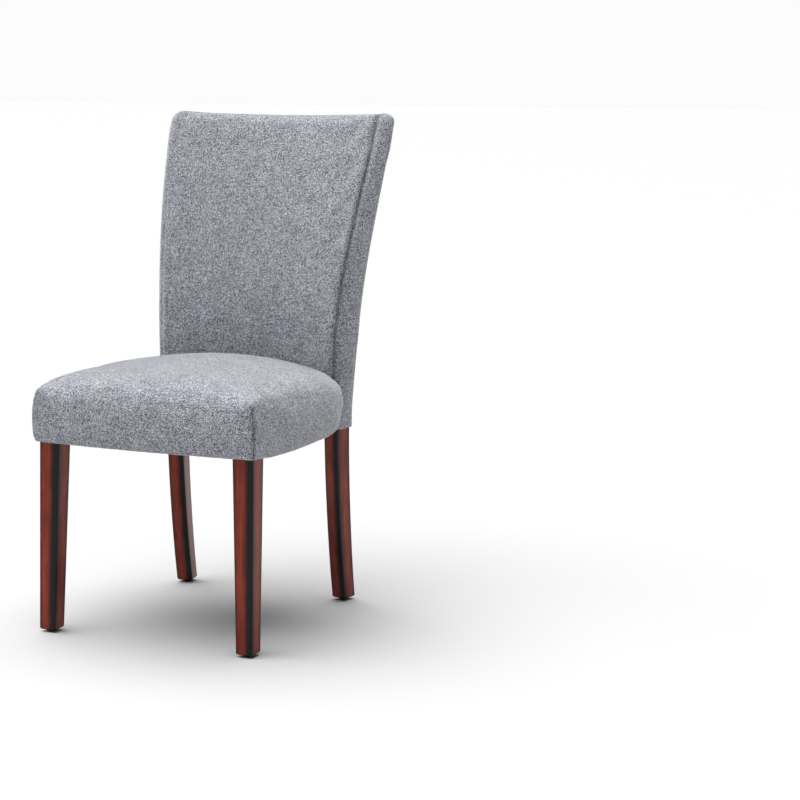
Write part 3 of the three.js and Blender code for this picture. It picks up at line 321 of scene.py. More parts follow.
# Seat cover: heathered linen-look polyester, one piece over the top, front and sides, with a
# sewn dart down each front corner, pulled over the foam and tacked under the rails.
def weave(name, warp, weft):
    """Plain-woven heathered cloth: each yarn changes its tone along its length"""
    yarn_pitch = 0.001
    material, tree, shader = start_material(
        name, Roughness=0.92, IOR=1.45, Specular_IOR_Level=0.3, Sheen_Weight=0.5,
        Sheen_Roughness=0.45)
    # The real yarns are about 0.7 mm apart. They are drawn 1 mm apart, so that they show.
    cloth = add(tree, "UVMap", {"uv_map": "cloth"})
    thread = add(
        tree, "VectorMath", {"operation": "SCALE", "Scale": 1 / yarn_pitch}, {0: cloth.outputs[0]})

    def noise_cells(stretch, move):
        """A value for each cell of the cloth, whose cells are stretched along a yarn"""
        cells = add(
            tree, "Mapping", {"Scale": stretch, "Location": move}, {"Vector": thread.outputs[0]})
        corner = add(tree, "VectorMath", {"operation": "FLOOR"}, {0: cells.outputs[0]})
        return add(
            tree, "TexWhiteNoise", {"noise_dimensions": "2D"},
            {"Vector": corner.outputs[0]}).outputs["Value"]

    tones = []
    for stretch, move, colours in (((1, 0.85, 1), (0, 0, 0), warp),
                                   ((0.85, 1, 1), (37, 11, 0), weft)):
        yarn = add(tree, "ValToRGB", {}, {0: noise_cells(stretch, move)})
        colour_stops(yarn, colours)
        tones.append(yarn.outputs[0])
    over = add(tree, "TexChecker", {"Scale": 1}, {"Vector": thread.outputs[0]})
    both = add(
        tree, "Mix", {"data_type": "RGBA"}, {0: over.outputs["Fac"], 6: tones[0], 7: tones[1]})
    # Here and there a thicker or paler yarn shows as a fine line, a few centimetres long.
    thick = [noise_cells((0.62, 0.045, 1), (3, 8, 0)), noise_cells((0.045, 0.62, 1), (14, 21, 0))]
    crossed = add(tree, "Math", {"operation": "ADD"}, {0: thick[0], 1: thick[1]})
    groups = add(tree, "MapRange", {1: 0, 2: 2, 3: 0.8, 4: 1.2}, {0: crossed.outputs[0]})
    cloudy = add(
        tree, "TexNoise", {"noise_dimensions": "2D", "Scale": 22, "Detail": 2},
        {"Vector": cloth.outputs[0]})
    shade = add(tree, "MapRange", {1: 0.25, 2: 0.75, 3: 0.66, 4: 0.76}, {0: cloudy.outputs[0]})
    # Painted shade: the cloth is darkened wherever its seam attribute is set, in the seams, darts
    # and grooves where shade falls.
    painted_seam_shade = add(tree, "Attribute", {"attribute_name": "seam"})
    dusk = add(
        tree, "Math", {"operation": "MULTIPLY_ADD", 1: -0.42},
        {0: painted_seam_shade.outputs["Fac"], 2: shade.outputs[0]})
    grouped = add(
        tree, "Math", {"operation": "MULTIPLY"}, {0: dusk.outputs[0], 1: groups.outputs[0]})
    toned = add(
        tree, "VectorMath", {"operation": "SCALE"},
        {0: both.outputs[2], "Scale": grouped.outputs[0]})
    tree.links.new(toned.outputs[0], shader.inputs["Base Color"])
    # Each crossing of two yarns stands a little proud.
    turned = add(
        tree, "VectorMath", {"operation": "SCALE", "Scale": math.pi}, {0: thread.outputs[0]})
    sines = add(tree, "VectorMath", {"operation": "SINE"}, {0: turned.outputs[0]})
    waves = add(tree, "SeparateXYZ", {}, {0: sines.outputs[0]})
    crowns = add(
        tree, "Math", {"operation": "MULTIPLY"}, {0: waves.outputs[0], 1: waves.outputs[1]})
    height = add(tree, "Math", {"operation": "ABSOLUTE"}, {0: crowns.outputs[0]})
    raised = add(
        tree, "Bump", {"Strength": 0.35, "Distance": 0.0003}, {"Height": height.outputs[0]})
    tree.links.new(raised.outputs[0], shader.inputs["Normal"])
    return material


linen = weave(
    "heathered_linen_weave",
    [(0, "0c0e16"), (0.3, "3a4254"), (0.5, "848ca1"), (0.7, "dde4f4"), (1, "ffffff")],
    [(0, "141417"), (0.3, "46474d"), (0.5, "8f8f98"), (0.7, "e1e2e8"), (1, "fffeff")])


def cut_box(cells):
    """A closed box of square cells from 0 to so many along X, Y and Z"""
    mesh = bmesh.new()
    mesh.verts.layers.float.new("seam")
    bmesh.ops.create_cube(mesh, size=1, matrix=Matrix.Translation((0.5, 0.5, 0.5)))
    for axis, count in enumerate(cells):
        along = [edge for edge in mesh.edges
                 if abs((edge.verts[0].co - edge.verts[1].co)[axis]) > 0.0001]
        bmesh.ops.subdivide_edges(mesh, edges=along, cuts=count - 1, use_grid_fill=True)
    bmesh.ops.scale(mesh, verts=mesh.verts, vec=cells)
    return mesh


def rounded(offset, radii):
    """How far a point on a box moves in to round its edges, by its distances from the faces"""
    deep = Vector([max(1 - distance / radius, 0) for distance, radius in zip(offset, radii)])
    pull = 1 - 1 / max(deep.length, 1)
    return Vector([share * radius * pull for share, radius in zip(deep, radii)])


def smooth(share):
    share = min(max(share, 0), 1)
    return share * share * (3 - 2 * share)


def lines(ends, other_ends, length, middle):
    """Places of grid lines along a length: close together near both ends, even between"""
    rest = np.linspace(ends[-1], length - other_ends[-1], middle + 1)[1:-1]
    return [*ends, *rest, *(length - end for end in reversed(other_ends))]


def lay_cloth(mesh, cell, strips):
    """Gives each face the place that its cloth had when flat: each strip is its rows of grid
    points, and the places are lengths along and across it from the middle of its first row"""
    where = {corner: vert.co for vert, corner in cell.items()}
    layer = mesh.loops.layers.uv.new("cloth")
    tables = []
    for number, rows in enumerate(strips):
        spots = np.array([[where[corner] for corner in row] for row in rows])
        across = np.linalg.norm(np.diff(spots, axis=1), axis=2).cumsum(1)
        across = np.pad(across, ((0, 0), (1, 0)))
        across -= across[:, [across.shape[1] // 2]]
        down = np.linalg.norm(np.diff(spots, axis=0), axis=2).cumsum(0)
        down = np.pad(down, ((1, 0), (0, 0)))
        tables.append({corner: (across[r, c] + number * 1.7, down[r, c])
                       for r, row in enumerate(rows) for c, corner in enumerate(row)})
    for face in mesh.faces:
        table = next((t for t in tables if all(cell[v] in t for v in face.verts)), None)
        for loop in face.loops:
            found = table[cell[loop.vert]] if table else (loop.vert.co.x, loop.vert.co.y)
            loop[layer].uv = found


cloth_thickness = 0.0014


def puff(piece, sewn, pressure, cap):
    """Fills a cover out over its foam with the cloth held at its seams and tacks. No point moves
    further than the cap."""
    frames = 20
    group = piece.vertex_groups.new(name="sewn")
    group.add(sewn, 1, "REPLACE")
    cloth = piece.modifiers.new("cloth", "CLOTH")
    cloth.settings.vertex_group_mass = "sewn"
    cloth.settings.use_pressure = True
    cloth.settings.uniform_pressure_force = pressure
    cloth.settings.effector_weights.gravity = 0
    cloth.settings.quality = 5
    cloth.settings.bending_stiffness = 2
    cloth.point_cache.frame_end = frames
    for step in range(1, frames + 1):
        bpy.context.scene.frame_set(step)
    blown = piece.evaluated_get(bpy.context.evaluated_depsgraph_get()).data
    for vertex, moved in zip(piece.data.vertices, blown.vertices):
        push = moved.co - vertex.co
        far = push.length
        vertex.co += push * (cap * math.tanh(far / cap) / far if far > 0 else 0)
    piece.modifiers.remove(cloth)
    bpy.context.scene.frame_set(1)


def finish_cover(piece):
    """Gives a cover its cloth's thickness, inwards, and smooths it"""
    wall = piece.modifiers.new("cloth thickness", "SOLIDIFY")
    wall.thickness = cloth_thickness
    wall.offset = -1
    even = piece.modifiers.new("smooth", "SUBSURF")
    even.levels = even.render_levels = 1


seat_half = 0.2279
seat_rear = 0.4057
seat_overhang = 0.007
seat_bottom = 0.363
seat_edge_radius = 0.026
seat_fullness = 0.012
edge_lines = [0, 0.002, 0.0045, 0.008, 0.013, 0.019, 0.026]
seat_x = lines(edge_lines, edge_lines, 2 * seat_half, 58)
seat_y = lines(edge_lines, edge_lines, seat_rear + seat_overhang, 50)
seat_z = lines([0, 0.0025, 0.006, 0.012], edge_lines, 0.105, 9)
seat_cells = (len(seat_x) - 1, len(seat_y) - 1, len(seat_z) - 1)


def seat_top(across, along):
    """Height of the seat's top: crowned, and its edge higher beside the middle than at the ends"""
    highest = 0.45
    if along < highest:
        front_edge, rise = 0.464, 0.014
        edge = front_edge + rise * (1 - (1 - along / highest) ** 4)
    else:
        middle_edge, fall = 0.478, 0.026
        edge = middle_edge - fall * ((along - highest) / 0.55) ** 2
    crown = 0.011 + 0.042 * along - 0.02 * along ** 2
    return edge + crown * (1 - across * across)


def seat_place(i, j, k):
    """Where a grid point of the seat lies. The right side is shaped as the front view shows it and
    the left side as the rear view does, so they differ a little."""
    x = seat_x[i] - seat_half
    right = x > 0
    across = abs(x) / seat_half
    along = seat_y[j] / seat_y[-1]
    share = seat_z[k] / seat_z[-1]
    from_side = seat_half - abs(x)
    above = seat_z[-1] - seat_z[k]
    corner = across ** 4 * (1 - along) ** 2.2
    rear = smooth((along - 0.93) / 0.07)
    side = max(0, 1 - from_side / 0.02)
    front = max(0, 1 - seat_y[j] / 0.02)

    # The edges are rounded, sharpest at the front corners.
    radius = seat_edge_radius - 0.0195 * corner
    front_radius = min(radius, 0.019 + 0.01 * along)
    pulled = rounded(
        (from_side, min(seat_y[j], seat_y[-1] - seat_y[j]), above),
        (radius + 0.012 * along, front_radius * (1 - 0.6 * rear), min(radius, 0.02 + 0.02 * along)))

    # The walls are fullest at the middle of their height, and the sides turn in at the back.
    swell = np.interp(share, [0, 0.03, 0.12, 0.3, 0.52, 0.76, 0.9, 1],
                      [0.3, 0.55, 0.85, 0.97, 1, 0.72, 0.35, 0])
    swell *= seat_fullness - 0.004 * corner
    tuck = min(max((along - 0.76) / 0.24, 0), 1)
    tuck = (1 - math.sqrt(1 - min(tuck, 0.999) ** 2)) * np.interp(
        share, [0, 0.25, 0.5, 0.8, 1], [0.036, 0.031, 0.019, 0.023, 0.03])
    closing = 0.013 * smooth((along - 0.965) / 0.035)
    half = seat_half - 0.0039 * along + 0.004 * (1 - (2 * along - 1) ** 2)
    half -= tuck * (1 if right else 0.45) + (0 if right else closing)
    width = half * across - pulled.x + swell * side

    # The front bows out, and the rear follows the curve of the back.
    front_y = -seat_overhang - 0.004 * (1 - across * across)
    back_y = seat_rear - width * width / (2 * back_plan_radius)
    y = front_y + (back_y - front_y) * along
    y += pulled.y if along < 0.5 else -pulled.y
    y += 0.011 * rear * side * (0.3 if right else 1)
    y -= 0.8 * swell * front
    if k < 2:
        # The hem is carried back under the side rails as far as the rear legs.
        hem_corner = 0.193
        hem_rear = 0.1222
        reach = rear * smooth((abs(x) - 0.185) / 0.02)
        hem_edge = hem_corner - 0.85 * from_side
        hem_end = hem_rear - legs_front + 0.2 * (hem_corner - hem_edge)
        width += (hem_edge - width) * reach
        y += (hem_end - y) * reach

    # The top is a little higher near the front corners. The bottom edge sags between its tacks.
    top = seat_top(min(width / seat_half, 1), min(max((y + seat_overhang) / seat_y[-1], 0), 1))
    top += 0.0022 * math.exp(-((along - 0.14) / 0.11) ** 2) * across ** 2
    if not right:
        top -= 0.009 * along * across ** 2 * (1 - across ** 2)
    if right:
        sag = np.interp(along, [0, 0.15, 0.4, 0.75, 1], [0, 0.005, 0.007, 0.0035, -0.002])
    else:
        sag = np.interp(along, [0, 0.15, 0.4, 0.75, 1], [0, 0.003, 0.006, 0.009, 0.009])
    sag = sag * side + 0.0015 * (1 - across * across) * front
    tacks = 0.0007 * noise.noise(Vector((x * 60, y * 60, 3)))
    bottom = seat_bottom - sag + tacks * (side + front)
    z = bottom + (top - bottom) * share - pulled.z
    return Vector((math.copysign(width, x), y + legs_front, z))


mesh = cut_box(seat_cells)
cell = {vert: tuple(round(c) for c in vert.co) for vert in mesh.verts}
nx, ny, nz = seat_cells
side_hem, front_hem = 8, 6
opened = [face for face in mesh.faces if all(
    cell[v][2] == 0 and side_hem <= cell[v][0] <= nx - side_hem
    and front_hem <= cell[v][1] <= ny - front_hem for v in face.verts)]
bmesh.ops.delete(mesh, geom=opened, context="FACES")
cell = {vert: corner for vert, corner in cell.items() if vert.is_valid}
for vert, corner in cell.items():
    vert.co = seat_place(*corner)
bmesh.ops.recalc_face_normals(mesh, faces=mesh.faces)
mesh.verts.index_update()
# Each dart pulls the corner in and puckers the cloth at its top. Painted shade darkens the cloth
# along the dart's stitches, round the pucker and more softly beside the dart.
darts = [vert for vert, (i, j, k) in cell.items() if i in (0, nx) and j == 0 and 0 < k < nz]
painted_seam_shade = mesh.verts.layers.float["seam"]
for vert in darts:
    inward = Vector((-math.copysign(1, vert.co.x), 1, 0)).normalized()
    vert.co += inward * 0.0028 * (1 + 0.4 * noise.noise(vert.co * 60))
    vert[painted_seam_shade] = 1
dart_width = 0.0095
for vert, (i, j, k) in cell.items():
    corner = Vector((math.copysign(seat_half - 0.004, vert.co.x), legs_front - 0.002, 0.457))
    away = (vert.co - corner).length
    vert.co.z -= 0.004 * math.exp(-(away / 0.011) ** 2)
    vert[painted_seam_shade] = max(vert[painted_seam_shade], 0.85 * math.exp(-(away / dart_width) ** 2))
    from_dart = seat_x[min(i, nx - i)] + seat_y[j] * 1.6
    painted_dart_shade = 0.36 + 0.3 * (seat_z[k] / seat_z[-1]) ** 3
    vert[painted_seam_shade] = max(vert[painted_seam_shade], painted_dart_shade * math.exp(-(from_dart / dart_width) ** 2))
crease = mesh.edges.layers.float.new("crease_edge")
for edge in mesh.edges:
    if all(vert in darts for vert in edge.verts):
        edge[crease] = 0.7
lay_cloth(mesh, cell, [
    [[(i, 0, k) for i in range(nx + 1)] for k in range(nz + 1)]
    + [[(i, j, nz) for i in range(nx + 1)] for j in range(1, ny + 1)]
    + [[(i, ny, k) for i in range(nx + 1)] for k in range(nz - 1, -1, -1)],
    [[(0, j, k) for j in range(ny + 1)] for k in range(nz + 1)],
    [[(nx, j, k) for j in range(ny + 1)] for k in range(nz + 1)],
])
sewn = [vert.index for vert, (i, j, k) in cell.items()
        if k == 0 or (i in (0, nx) and j == 0) or j == ny]
seat_cover = finish_piece("sewn_seat_cover", mesh, linen, ["seat_cover"])
puff(seat_cover, sewn, 3, 0.003)
hold_in(seat_pad, seat_cover, 0.006)
finish_cover(seat_cover)


# Back cover: the front panel runs up the front, rolls over the top and ends in a seam across the
# outside back. A side band is sewn to it on each side and wraps round to the outside back's border.
back_bottom = 0.354
back_top = 0.966
back_seam = 0.905
sweep_start = 0.48
back_face = 0.406
sweep_reach, sweep_power = 0.145, 1.7
back_thickness, back_thinning, thinning_power = 0.072, 0.029, 1.6
back_bottom_half, back_spread = 0.1965, 0.0315


def sweep(z):
    """How far up the swept part of the back a height lies, from 0 to 1"""
    return max((z - sweep_start) / (back_top - sweep_start), 0)


def back_front(z):
    """Where the front of the back lies on its middle line"""
    return legs_front + back_face + sweep_reach * sweep(z) ** sweep_power


def back_depth(z):
    return back_thickness - back_thinning * sweep(z) ** thinning_power


def back_half(z):
    """Half the width of the back at its front face"""
    return back_bottom_half + back_spread * smooth(sweep(z))


def rear_half(z):
    """Half the width of the back at its rear face, which is wider"""
    lower = 0.0155 * smooth((z - back_bottom) / 0.2)
    upper = 0.005 * smooth((z - 0.86) / 0.06)
    return back_half(z) + 0.008 + lower + upper


def window_half(z):
    """Half the width between the welts: the outside back widens towards its top"""
    return 0.174 + 0.0345 * max((z - 0.4) / 0.5, 0) ** 1.5


arc_shares = [0, 0.18, 0.4, 0.68, 1]
border_cells = 4
window_cells = 54
side_cells = 8
back_z = lines([0, 0.0025, 0.006], [0], back_seam - back_bottom, 82)
back_z += [back_seam - back_bottom + step * 0.007 for step in range(1, 7)]
back_z += [back_z[-1] + 0.019 * share for share in arc_shares[1:]]
back_z = [z * (back_top - back_bottom) / back_z[-1] for z in back_z]
seam_row = int(np.argmin([abs(back_bottom + z - back_seam) for z in back_z]))
ends = len(arc_shares) - 1
back_cells = (2 * (ends + border_cells) + window_cells, 2 * ends + side_cells, len(back_z) - 1)


def back_radii(z):
    """Radii of the rounded edges: softer over the top, and widest round the top corners"""
    full = smooth((z - 0.875) / 0.06)
    return 0.013 + 0.011 * full, 0.0105 + 0.0085 * full, 0.024


def back_place(i, j, k):
    """Where a grid point of the back lies"""
    z = back_bottom + back_z[k]
    radii = back_radii(z)
    depth = back_depth(min(z, 0.95))
    nx, ny = back_cells[:2]
    from_side = min(i, nx - i)
    from_face = min(j, ny - j)
    if from_face <= ends:
        into = arc_shares[from_face] * radii[1]
    else:
        into = radii[1] + (from_face - ends) * (depth - 2 * radii[1]) / side_cells
    deep_y = into if j <= ny / 2 else depth - into
    share = deep_y / depth
    half = back_half(z) + (rear_half(z) - back_half(z)) * share + 0.014 * share * (1 - share)
    mitre = smooth((z - back_seam) / 0.04) * smooth((share - 0.4) / 0.6)
    window = min(window_half(z), half - radii[0] - 0.006)
    window += (half - radii[0] - 0.003 - window) * mitre
    if from_side <= ends:
        x = half - arc_shares[from_side] * radii[0]
    elif from_side <= ends + border_cells:
        x = half - radii[0] + (window - half + radii[0]) * (from_side - ends) / border_cells
    else:
        x = window * (1 - (from_side - ends - border_cells) * 2 / window_cells)
    pulled = rounded((half - x, into, back_top - z), radii)
    x -= pulled.x
    y = deep_y + (pulled.y if j <= ny / 2 else -pulled.y)
    dip = 0.006 * max((z - back_top + 0.11) / 0.11, 0) * max(1 - (x / half) ** 2, 0)
    high = z - pulled.z
    x = x if i > nx / 2 else -x
    hang = 0.0008 * noise.noise(Vector((x * 50, y * 50, 9))) if k == 0 else 0
    y += back_front(high) - x * x / (2 * back_plan_radius)
    return Vector((x, y, high - dip + hang))


mesh = cut_box(back_cells)
cell = {vert: tuple(round(c) for c in vert.co) for vert in mesh.verts}
nx, ny, nz = back_cells
edge_cells = ends + border_cells
# The back is open behind the outside back, at the bottom, and in front where the seat hides it.
hem = 3
tuck_height = 0.44
tuck_row = int(np.argmin([abs(back_bottom + z - tuck_height) for z in back_z]))
opened = []
for face in mesh.faces:
    corners = [cell[vert] for vert in face.verts]
    in_window = all(
        edge_cells <= i <= nx - edge_cells and j == ny and k <= seam_row for i, j, k in corners)
    in_tuck = all(hem <= i <= nx - hem and j == 0 and k <= tuck_row for i, j, k in corners)
    in_floor = all(hem <= i <= nx - hem and k == 0 for i, j, k in corners)
    if in_window or in_tuck or in_floor:
        opened.append(face)
bmesh.ops.delete(mesh, geom=opened, context="FACES")
cell = {vert: corner for vert, corner in cell.items() if vert.is_valid}
for vert, corner in cell.items():
    vert.co = back_place(*corner)
bmesh.ops.recalc_face_normals(mesh, faces=mesh.faces)
mesh.verts.index_update()
mesh.normal_update()
corner_of = {corner: vert for vert, corner in cell.items()}
# The seams of the side bands run up the front edges, over the top and down to the outside back.
seam_set = set()
spots = []
for column in (lambda i: i, lambda i: nx - i):
    path = [(column(0), 0, k) for k in range(nz - 3)] + [(column(1), 0, nz - 2), (column(2), 0, nz)]
    path += [(column(round(2 + (edge_cells - 2) * j / ny)), j, nz) for j in range(1, ny + 1)]
    path += [(column(edge_cells), ny, k) for k in range(nz - 1, seam_row - 1, -1)]
    seam_set.update(corner_of[corner] for corner in path)
    for here, there in zip(path, path[1:]):
        for share in (0, 0.25, 0.5, 0.75):
            spots.append((corner_of[here].co.lerp(corner_of[there].co, share), here[1] / ny))
seam_line = KDTree(len(spots))
for number, (spot, _) in enumerate(spots):
    seam_line.insert(spot, number)
seam_line.balance()
painted_seam_shade = mesh.verts.layers.float["seam"]
valley = {}
seam_reach = 0.03
for vert, (i, j, k) in cell.items():
    _, number, away = seam_line.find(vert.co)
    if away > seam_reach:
        continue
    back = spots[number][1]
    wide = (0.0085 if min(i, nx - i) == 0 else 0.0055) * (1 - 0.55 * back)
    pull = 1 if vert.co.x > 0 else 0.55
    deep = (0.0065 - 0.0045 * smooth(back / 0.6)) * pull * (1 + 0.2 * noise.noise(vert.co * 30))
    valley[vert] = -vert.normal * deep * math.exp(-(away / wide) ** 2)
    # Painted shade: a thin dark line along each seam and a broader shade beside it, both stronger
    # on the +X side.
    high = smooth((vert.co.z - 0.7) / 0.2)
    line = (0.45 + 0.5 * high) * math.exp(-(away / 0.0024) ** 2)
    beside = (0.42 - 0.2 * high) * math.exp(-(away / (1.35 * wide)) ** 2)
    vert[painted_seam_shade] = pull * pull * (line + beside)
for vert, by in valley.items():
    vert.co += by
# Painted shade along the outside back's border where it meets the welts.
for vert, (i, j, k) in cell.items():
    if j == ny and k <= seam_row and edge_cells - 1 <= min(i, nx - i) <= edge_cells:
        vert[painted_seam_shade] = max(vert[painted_seam_shade], 0.6 if min(i, nx - i) == edge_cells else 0.1)
crease = mesh.edges.layers.float.new("crease_edge")
for edge in mesh.edges:
    if all(vert in seam_set for vert in edge.verts):
        edge[crease] = 0.8
lay_cloth(mesh, cell, [
    [[(i, 0, k) for i in range(nx + 1)] for k in range(tuck_row, nz + 1)]
    + [[(i, j, nz) for i in range(nx + 1)] for j in range(1, ny + 1)]
    + [[(i, ny, k) for i in range(nx + 1)] for k in range(nz - 1, seam_row - 1, -1)],
    [[(0, j, k) for j in range(ny + 1)] + [(i, ny, k) for i in range(1, edge_cells + 1)]
     for k in range(nz + 1)],
    [[(nx, j, k) for j in range(ny + 1)] + [(nx - i, ny, k) for i in range(1, edge_cells + 1)]
     for k in range(nz + 1)],
])
sewn = [vert.index for vert in mesh.verts
        if vert in seam_set or vert.is_boundary or cell[vert][2] == 0]
back_cover = finish_piece("sewn_back_cover", mesh, linen, ["back_cover"])
puff(back_cover, sewn, 2.5, 0.0025)
hold_in(back_pad, back_cover, 0.008)
finish_cover(back_cover)


# Outside back: a panel of the same cloth over wadding, blind-stitched between the welts and under
# the top seam, and turned under at the bottom.
welt_size = 0.005
panel_bottom = 0.3495
panel_edge = [0, 0.0012, 0.003, 0.006]
panel_radius = 0.006
panel_cells = (60, 96)
mesh = bmesh.new()
bmesh.ops.create_grid(mesh, x_segments=panel_cells[0], y_segments=panel_cells[1], size=0.5)
bmesh.ops.translate(mesh, verts=mesh.verts, vec=(0.5, 0.5, 0))
bmesh.ops.scale(mesh, verts=mesh.verts, vec=(*panel_cells, 1))
painted_seam_shade = mesh.verts.layers.float.new("seam")
cell = {vert: (round(vert.co.x), round(vert.co.y), 0) for vert in mesh.verts}
panel_x = lines(panel_edge, panel_edge, 0.4, panel_cells[0] - 6)
# The first four rows are turned in under the rear seat rail.
panel_z = [-0.028, -0.018, -0.009, -0.003]
panel_z += lines(panel_edge, panel_edge, 0.555, panel_cells[1] - 10)
for vert, (i, k, _) in cell.items():
    under = max(-panel_z[k], 0)
    z = panel_bottom + (
        back_seam - 0.0006 - panel_bottom) * max(panel_z[k], 0) / panel_z[-1]
    half = window_half(z) - welt_size - 0.0004
    x = half * (2 * panel_x[i] / panel_x[-1] - 1)
    edge = min(half - abs(x), panel_x[-1])
    low = z - panel_bottom
    high = back_seam - z
    # Painted shade along the edges beside the welts and under the top seam.
    vert[painted_seam_shade] = (
        0.9 * math.exp(-(edge / 0.0032) ** 2) + 0.85 * math.exp(-(high / 0.0034) ** 2))
    turned = rounded((edge, high, low), (panel_radius, panel_radius, panel_radius))
    fullness = 0.0035 * smooth(edge / 0.05) * smooth(high / 0.06) * smooth(low / 0.05 + 0.3)
    wave = 0.0008 * noise.noise(Vector((x * 9, z * 9, 5)))
    y = back_front(z) + back_depth(z) - 0.0012 - x * x / (2 * back_plan_radius)
    lift = min(0.6 * under, 0.0137)
    vert.co = Vector((x, y + fullness + wave - turned.length - under, z + lift))
bmesh.ops.recalc_face_normals(mesh, faces=mesh.faces)
if sum(face.normal.y for face in mesh.faces) < 0:
    bmesh.ops.reverse_faces(mesh, faces=mesh.faces)
lay_cloth(mesh, cell, [
    [[(i, k, 0) for i in range(panel_cells[0] + 1)] for k in range(panel_cells[1] + 1)]])
panel = finish_piece(
    "stitched_outside_back", mesh, linen, ["outside_back_panel"])
finish_cover(panel)

# Welts: bias strips of the cloth sewn over cord, 5 mm thick, let into the two upright seams.
welt_bottom = 0.3515
welt_rings = 110
for side, name in ((-1, "left"), (1, "right")):
    mesh = bmesh.new()
    mesh.verts.layers.float.new("seam")
    ring = bmesh.ops.create_circle(mesh, segments=10, radius=welt_size / 2 * 1.08)["verts"]
    heights = np.linspace(welt_bottom, back_seam - 0.002, welt_rings)
    spots = []
    for z in heights:
        x = window_half(z) - welt_size / 2 - 0.0002
        y = back_front(z) + back_depth(z) - x * x / (2 * back_plan_radius) + 0.0004
        spots.append(Vector((side * (x + 0.0003 * noise.noise(Vector((0, side, z * 40)))), y, z)))
    layer = mesh.loops.layers.uv.new("cloth")
    rows = [list(ring)]
    bmesh.ops.translate(mesh, verts=ring, vec=spots[0])
    loop_edges = list({edge for vert in ring for edge in vert.link_edges})
    for before, after in zip(spots, spots[1:]):
        grown = bmesh.ops.extrude_edge_only(mesh, edges=loop_edges)["geom"]
        ring = [item for item in grown if isinstance(item, bmesh.types.BMVert)]
        loop_edges = [item for item in grown if isinstance(item, bmesh.types.BMEdge)
                      and all(vert in ring for vert in item.verts)]
        bmesh.ops.translate(mesh, verts=ring, vec=after - before)
        rows.append(ring)
    bmesh.ops.contextual_create(mesh, geom=loop_edges)
    bottom = [edge for edge in mesh.edges if edge.is_boundary]
    bmesh.ops.contextual_create(mesh, geom=bottom)
    bmesh.ops.recalc_face_normals(mesh, faces=mesh.faces)
    for face in mesh.faces:
        for loop in face.loops:
            spot = loop.vert.co
            middle = spots[int(np.argmin(abs(heights - spot.z)))]
            angle = math.atan2(spot.y - middle.y, spot.x - middle.x)
            loop[layer].uv = (angle * welt_size / 2 + spot.z, spot.z - angle * welt_size / 2)
    finish_piece("covered_welt_" + name, mesh, linen, ["welt_cord_" + name])


# Dust cover: black spun-bonded cloth cut round the legs, its edge turned in under the rails and
# stapled there. It hangs down a little between them.
cambric, tree, shader = start_material(
    "spun_bonded_polypropylene", Roughness=0.85, IOR=1.49, Sheen_Weight=0.2)
place = add(tree, "TexCoord").outputs["Object"]
dots = add(tree, "TexVoronoi", {"Scale": 520, "Randomness": 0.15}, {"Vector": place})
fibres = add(tree, "TexNoise", {"Scale": 240, "Detail": 5}, {"Vector": place})
black = add(tree, "ValToRGB", {}, {0: fibres.outputs[0]})
colour_stops(black, [(0.35, "0f0f10"), (0.7, "232325")])
tree.links.new(black.outputs[0], shader.inputs["Base Color"])
pressed = add(tree, "Bump", {"Strength": 0.5, "Distance": 0.0003}, {"Height": dots.outputs[0]})
tree.links.new(pressed.outputs[0], shader.inputs["Normal"])
turned_in_width = 0.014
walk_steps = 60
cloth_grid = 0.012
sag = 0.0035
mesh = merged_copy("dust_cover")
upper = max(mesh.faces, key=lambda face: face.normal.z * face.calc_area())
under_rails = upper.calc_center_median().z
bmesh.ops.delete(mesh, geom=[face for face in mesh.faces if face != upper], context="FACES")
outline = [vert.co.copy() for vert in upper.verts]
turned_in = bmesh.ops.inset_region(
    mesh, faces=[upper], thickness=turned_in_width, use_even_offset=True)["faces"]
hem = bmesh.ops.duplicate(mesh, geom=turned_in)["geom"]
folded = [item for item in hem if isinstance(item, bmesh.types.BMVert)]
edges_of_cloth = KDTree(len(outline) * walk_steps)
walk = []
for here, there in zip(outline, outline[1:] + outline[:1]):
    for step in range(walk_steps):
        spot = here.lerp(there, step / walk_steps)
        walk.append((spot, there - here))
        edges_of_cloth.insert(spot, 0)
edges_of_cloth.balance()
for vert in mesh.verts:
    vert.co.z = under_rails - 0.0006
for vert in folded:
    if edges_of_cloth.find(vert.co)[2] > 0.005:
        vert.co.z = under_rails - 0.0001
bmesh.ops.remove_doubles(mesh, verts=mesh.verts, dist=0.00001)
for normal in (Vector((1, 0, 0)), Vector((0, 1, 0))):
    for far in np.arange(-0.27, 0.27, cloth_grid):
        bmesh.ops.bisect_plane(
            mesh, geom=mesh.verts[:] + mesh.edges[:] + mesh.faces[:],
            plane_co=normal * far, plane_no=normal)
for vert in mesh.verts:
    inside = max(edges_of_cloth.find(vert.co)[2] - 0.0145, 0)
    ripple = 0.0006 * smooth(inside / 0.02) * abs(noise.noise(vert.co * 28))
    vert.co.z -= sag * smooth(inside / 0.1) + ripple
if sum(face.normal.z for face in mesh.faces) > 0:
    bmesh.ops.reverse_faces(mesh, faces=mesh.faces)
dust = finish_piece("stapled_dust_cover", mesh, cambric, ["dust_cover"])
dust.modifiers.new("cloth thickness", "SOLIDIFY").thickness = 0.0003

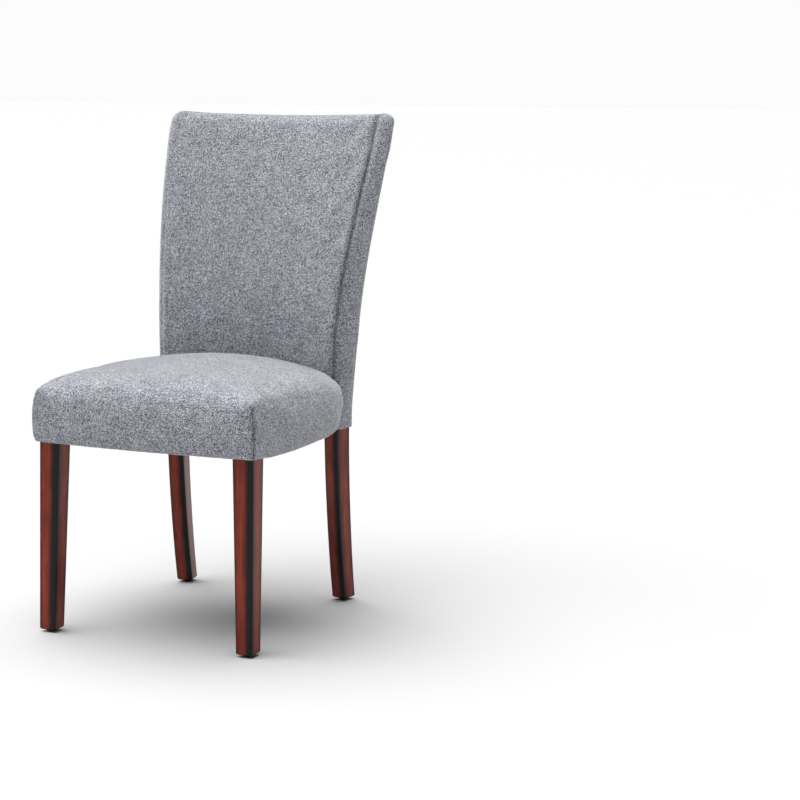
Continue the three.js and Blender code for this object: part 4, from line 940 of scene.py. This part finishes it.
# Staples of the dust cover: 10 mm crowns of zinc-plated wire, driven a little unevenly.
staple_spacing = 0.042
shortest_edge = 0.03
wire = (0.0006, 0.0011)
mesh = bmesh.new()
gone = 0
middle = sum(outline, Vector()) / len(outline)
for (spot, along), (after, _) in zip(walk, walk[1:] + walk[:1]):
    gone += (after - spot).length
    if gone < staple_spacing or along.length < shortest_edge:
        continue
    gone = 0
    way = along.normalized()
    inward = Vector((-way.y, way.x, 0))
    if inward.dot(middle - spot) < 0:
        inward.negate()
    slant = 0.3 * noise.noise(spot * 90)
    turn = Matrix.Rotation(math.atan2(way.y, way.x) + slant, 4, "Z")
    seat = Matrix.Translation(spot + inward * 0.007 + Vector((0, 0, -0.0011))) @ turn
    for size, move in (((0.0102, wire[1], wire[0]), (0, 0, 0)),
                       ((*wire, 0.004), (0.0048, 0, 0.0017)),
                       ((*wire, 0.004), (-0.0048, 0, 0.0017))):
        matrix = seat @ Matrix.Translation(move) @ Matrix.Diagonal((*size, 1))
        bmesh.ops.create_cube(mesh, size=1, matrix=matrix)
bmesh.ops.bevel(mesh, geom=mesh.edges[:], offset=0.00018, segments=2, affect="EDGES")
finish_piece("dust_cover_staples", mesh, steel, [])

# Glides: dark brown moulded polypropylene buttons, each nailed up into the foot of a leg.
glide_plastic, tree, shader = start_material("moulded_polypropylene", Roughness=0.42, IOR=1.49)
place = add(tree, "TexCoord").outputs["Object"]
scuff = add(tree, "TexNoise", {"Scale": 300, "Detail": 4}, {"Vector": place})
brown = add(tree, "ValToRGB", {}, {0: scuff.outputs[0]})
colour_stops(brown, [(0.4, "1d1310"), (0.8, "33241d")])
tree.links.new(brown.outputs[0], shader.inputs["Base Color"])
refinish(("glide_front", "glide_rear"), glide_plastic)


# Studio: a plain pale floor, soft light from one broad overhead sun, and a grey world all round,
# pale at the horizon and overhead.
floor_material, tree, shader = start_material("matt_white_floor", Roughness=0.9)
shader.inputs["Base Color"].default_value = linear("c8c8c8")
mesh = bmesh.new()
bmesh.ops.create_grid(mesh, x_segments=1, y_segments=1, size=60)
data = bpy.data.meshes.new("floor")
mesh.to_mesh(data)
mesh.free()
floor = bpy.data.objects.new("floor", data)
data.materials.append(floor_material)
bpy.context.collection.objects.link(floor)

sun = bpy.data.lights.new("overhead panel", "SUN")
sun.energy = 4.7
sun.angle = math.radians(75)
lamp = bpy.data.objects.new("overhead panel", sun)
lamp.rotation_euler = Vector((0.27, 0.02, -1)).to_track_quat("-Z", "Y").to_euler()
bpy.context.collection.objects.link(lamp)
world = bpy.data.worlds.new("studio")
world.use_nodes = True
tree = world.node_tree
around = add(tree, "TexCoord").outputs["Generated"]
height = add(tree, "SeparateXYZ", {}, {0: around})
walls = add(tree, "ValToRGB", {}, {0: height.outputs[2]})
colour_stops(walls, [(0.045, "fcfcfc"), (0.09, "54565a"), (0.7, "626366"), (1, "e8e8e8")])
tree.links.new(walls.outputs[0], tree.nodes["Background"].inputs[0])
bpy.context.scene.world = world
bpy.context.scene.view_settings.view_transform = "Standard"
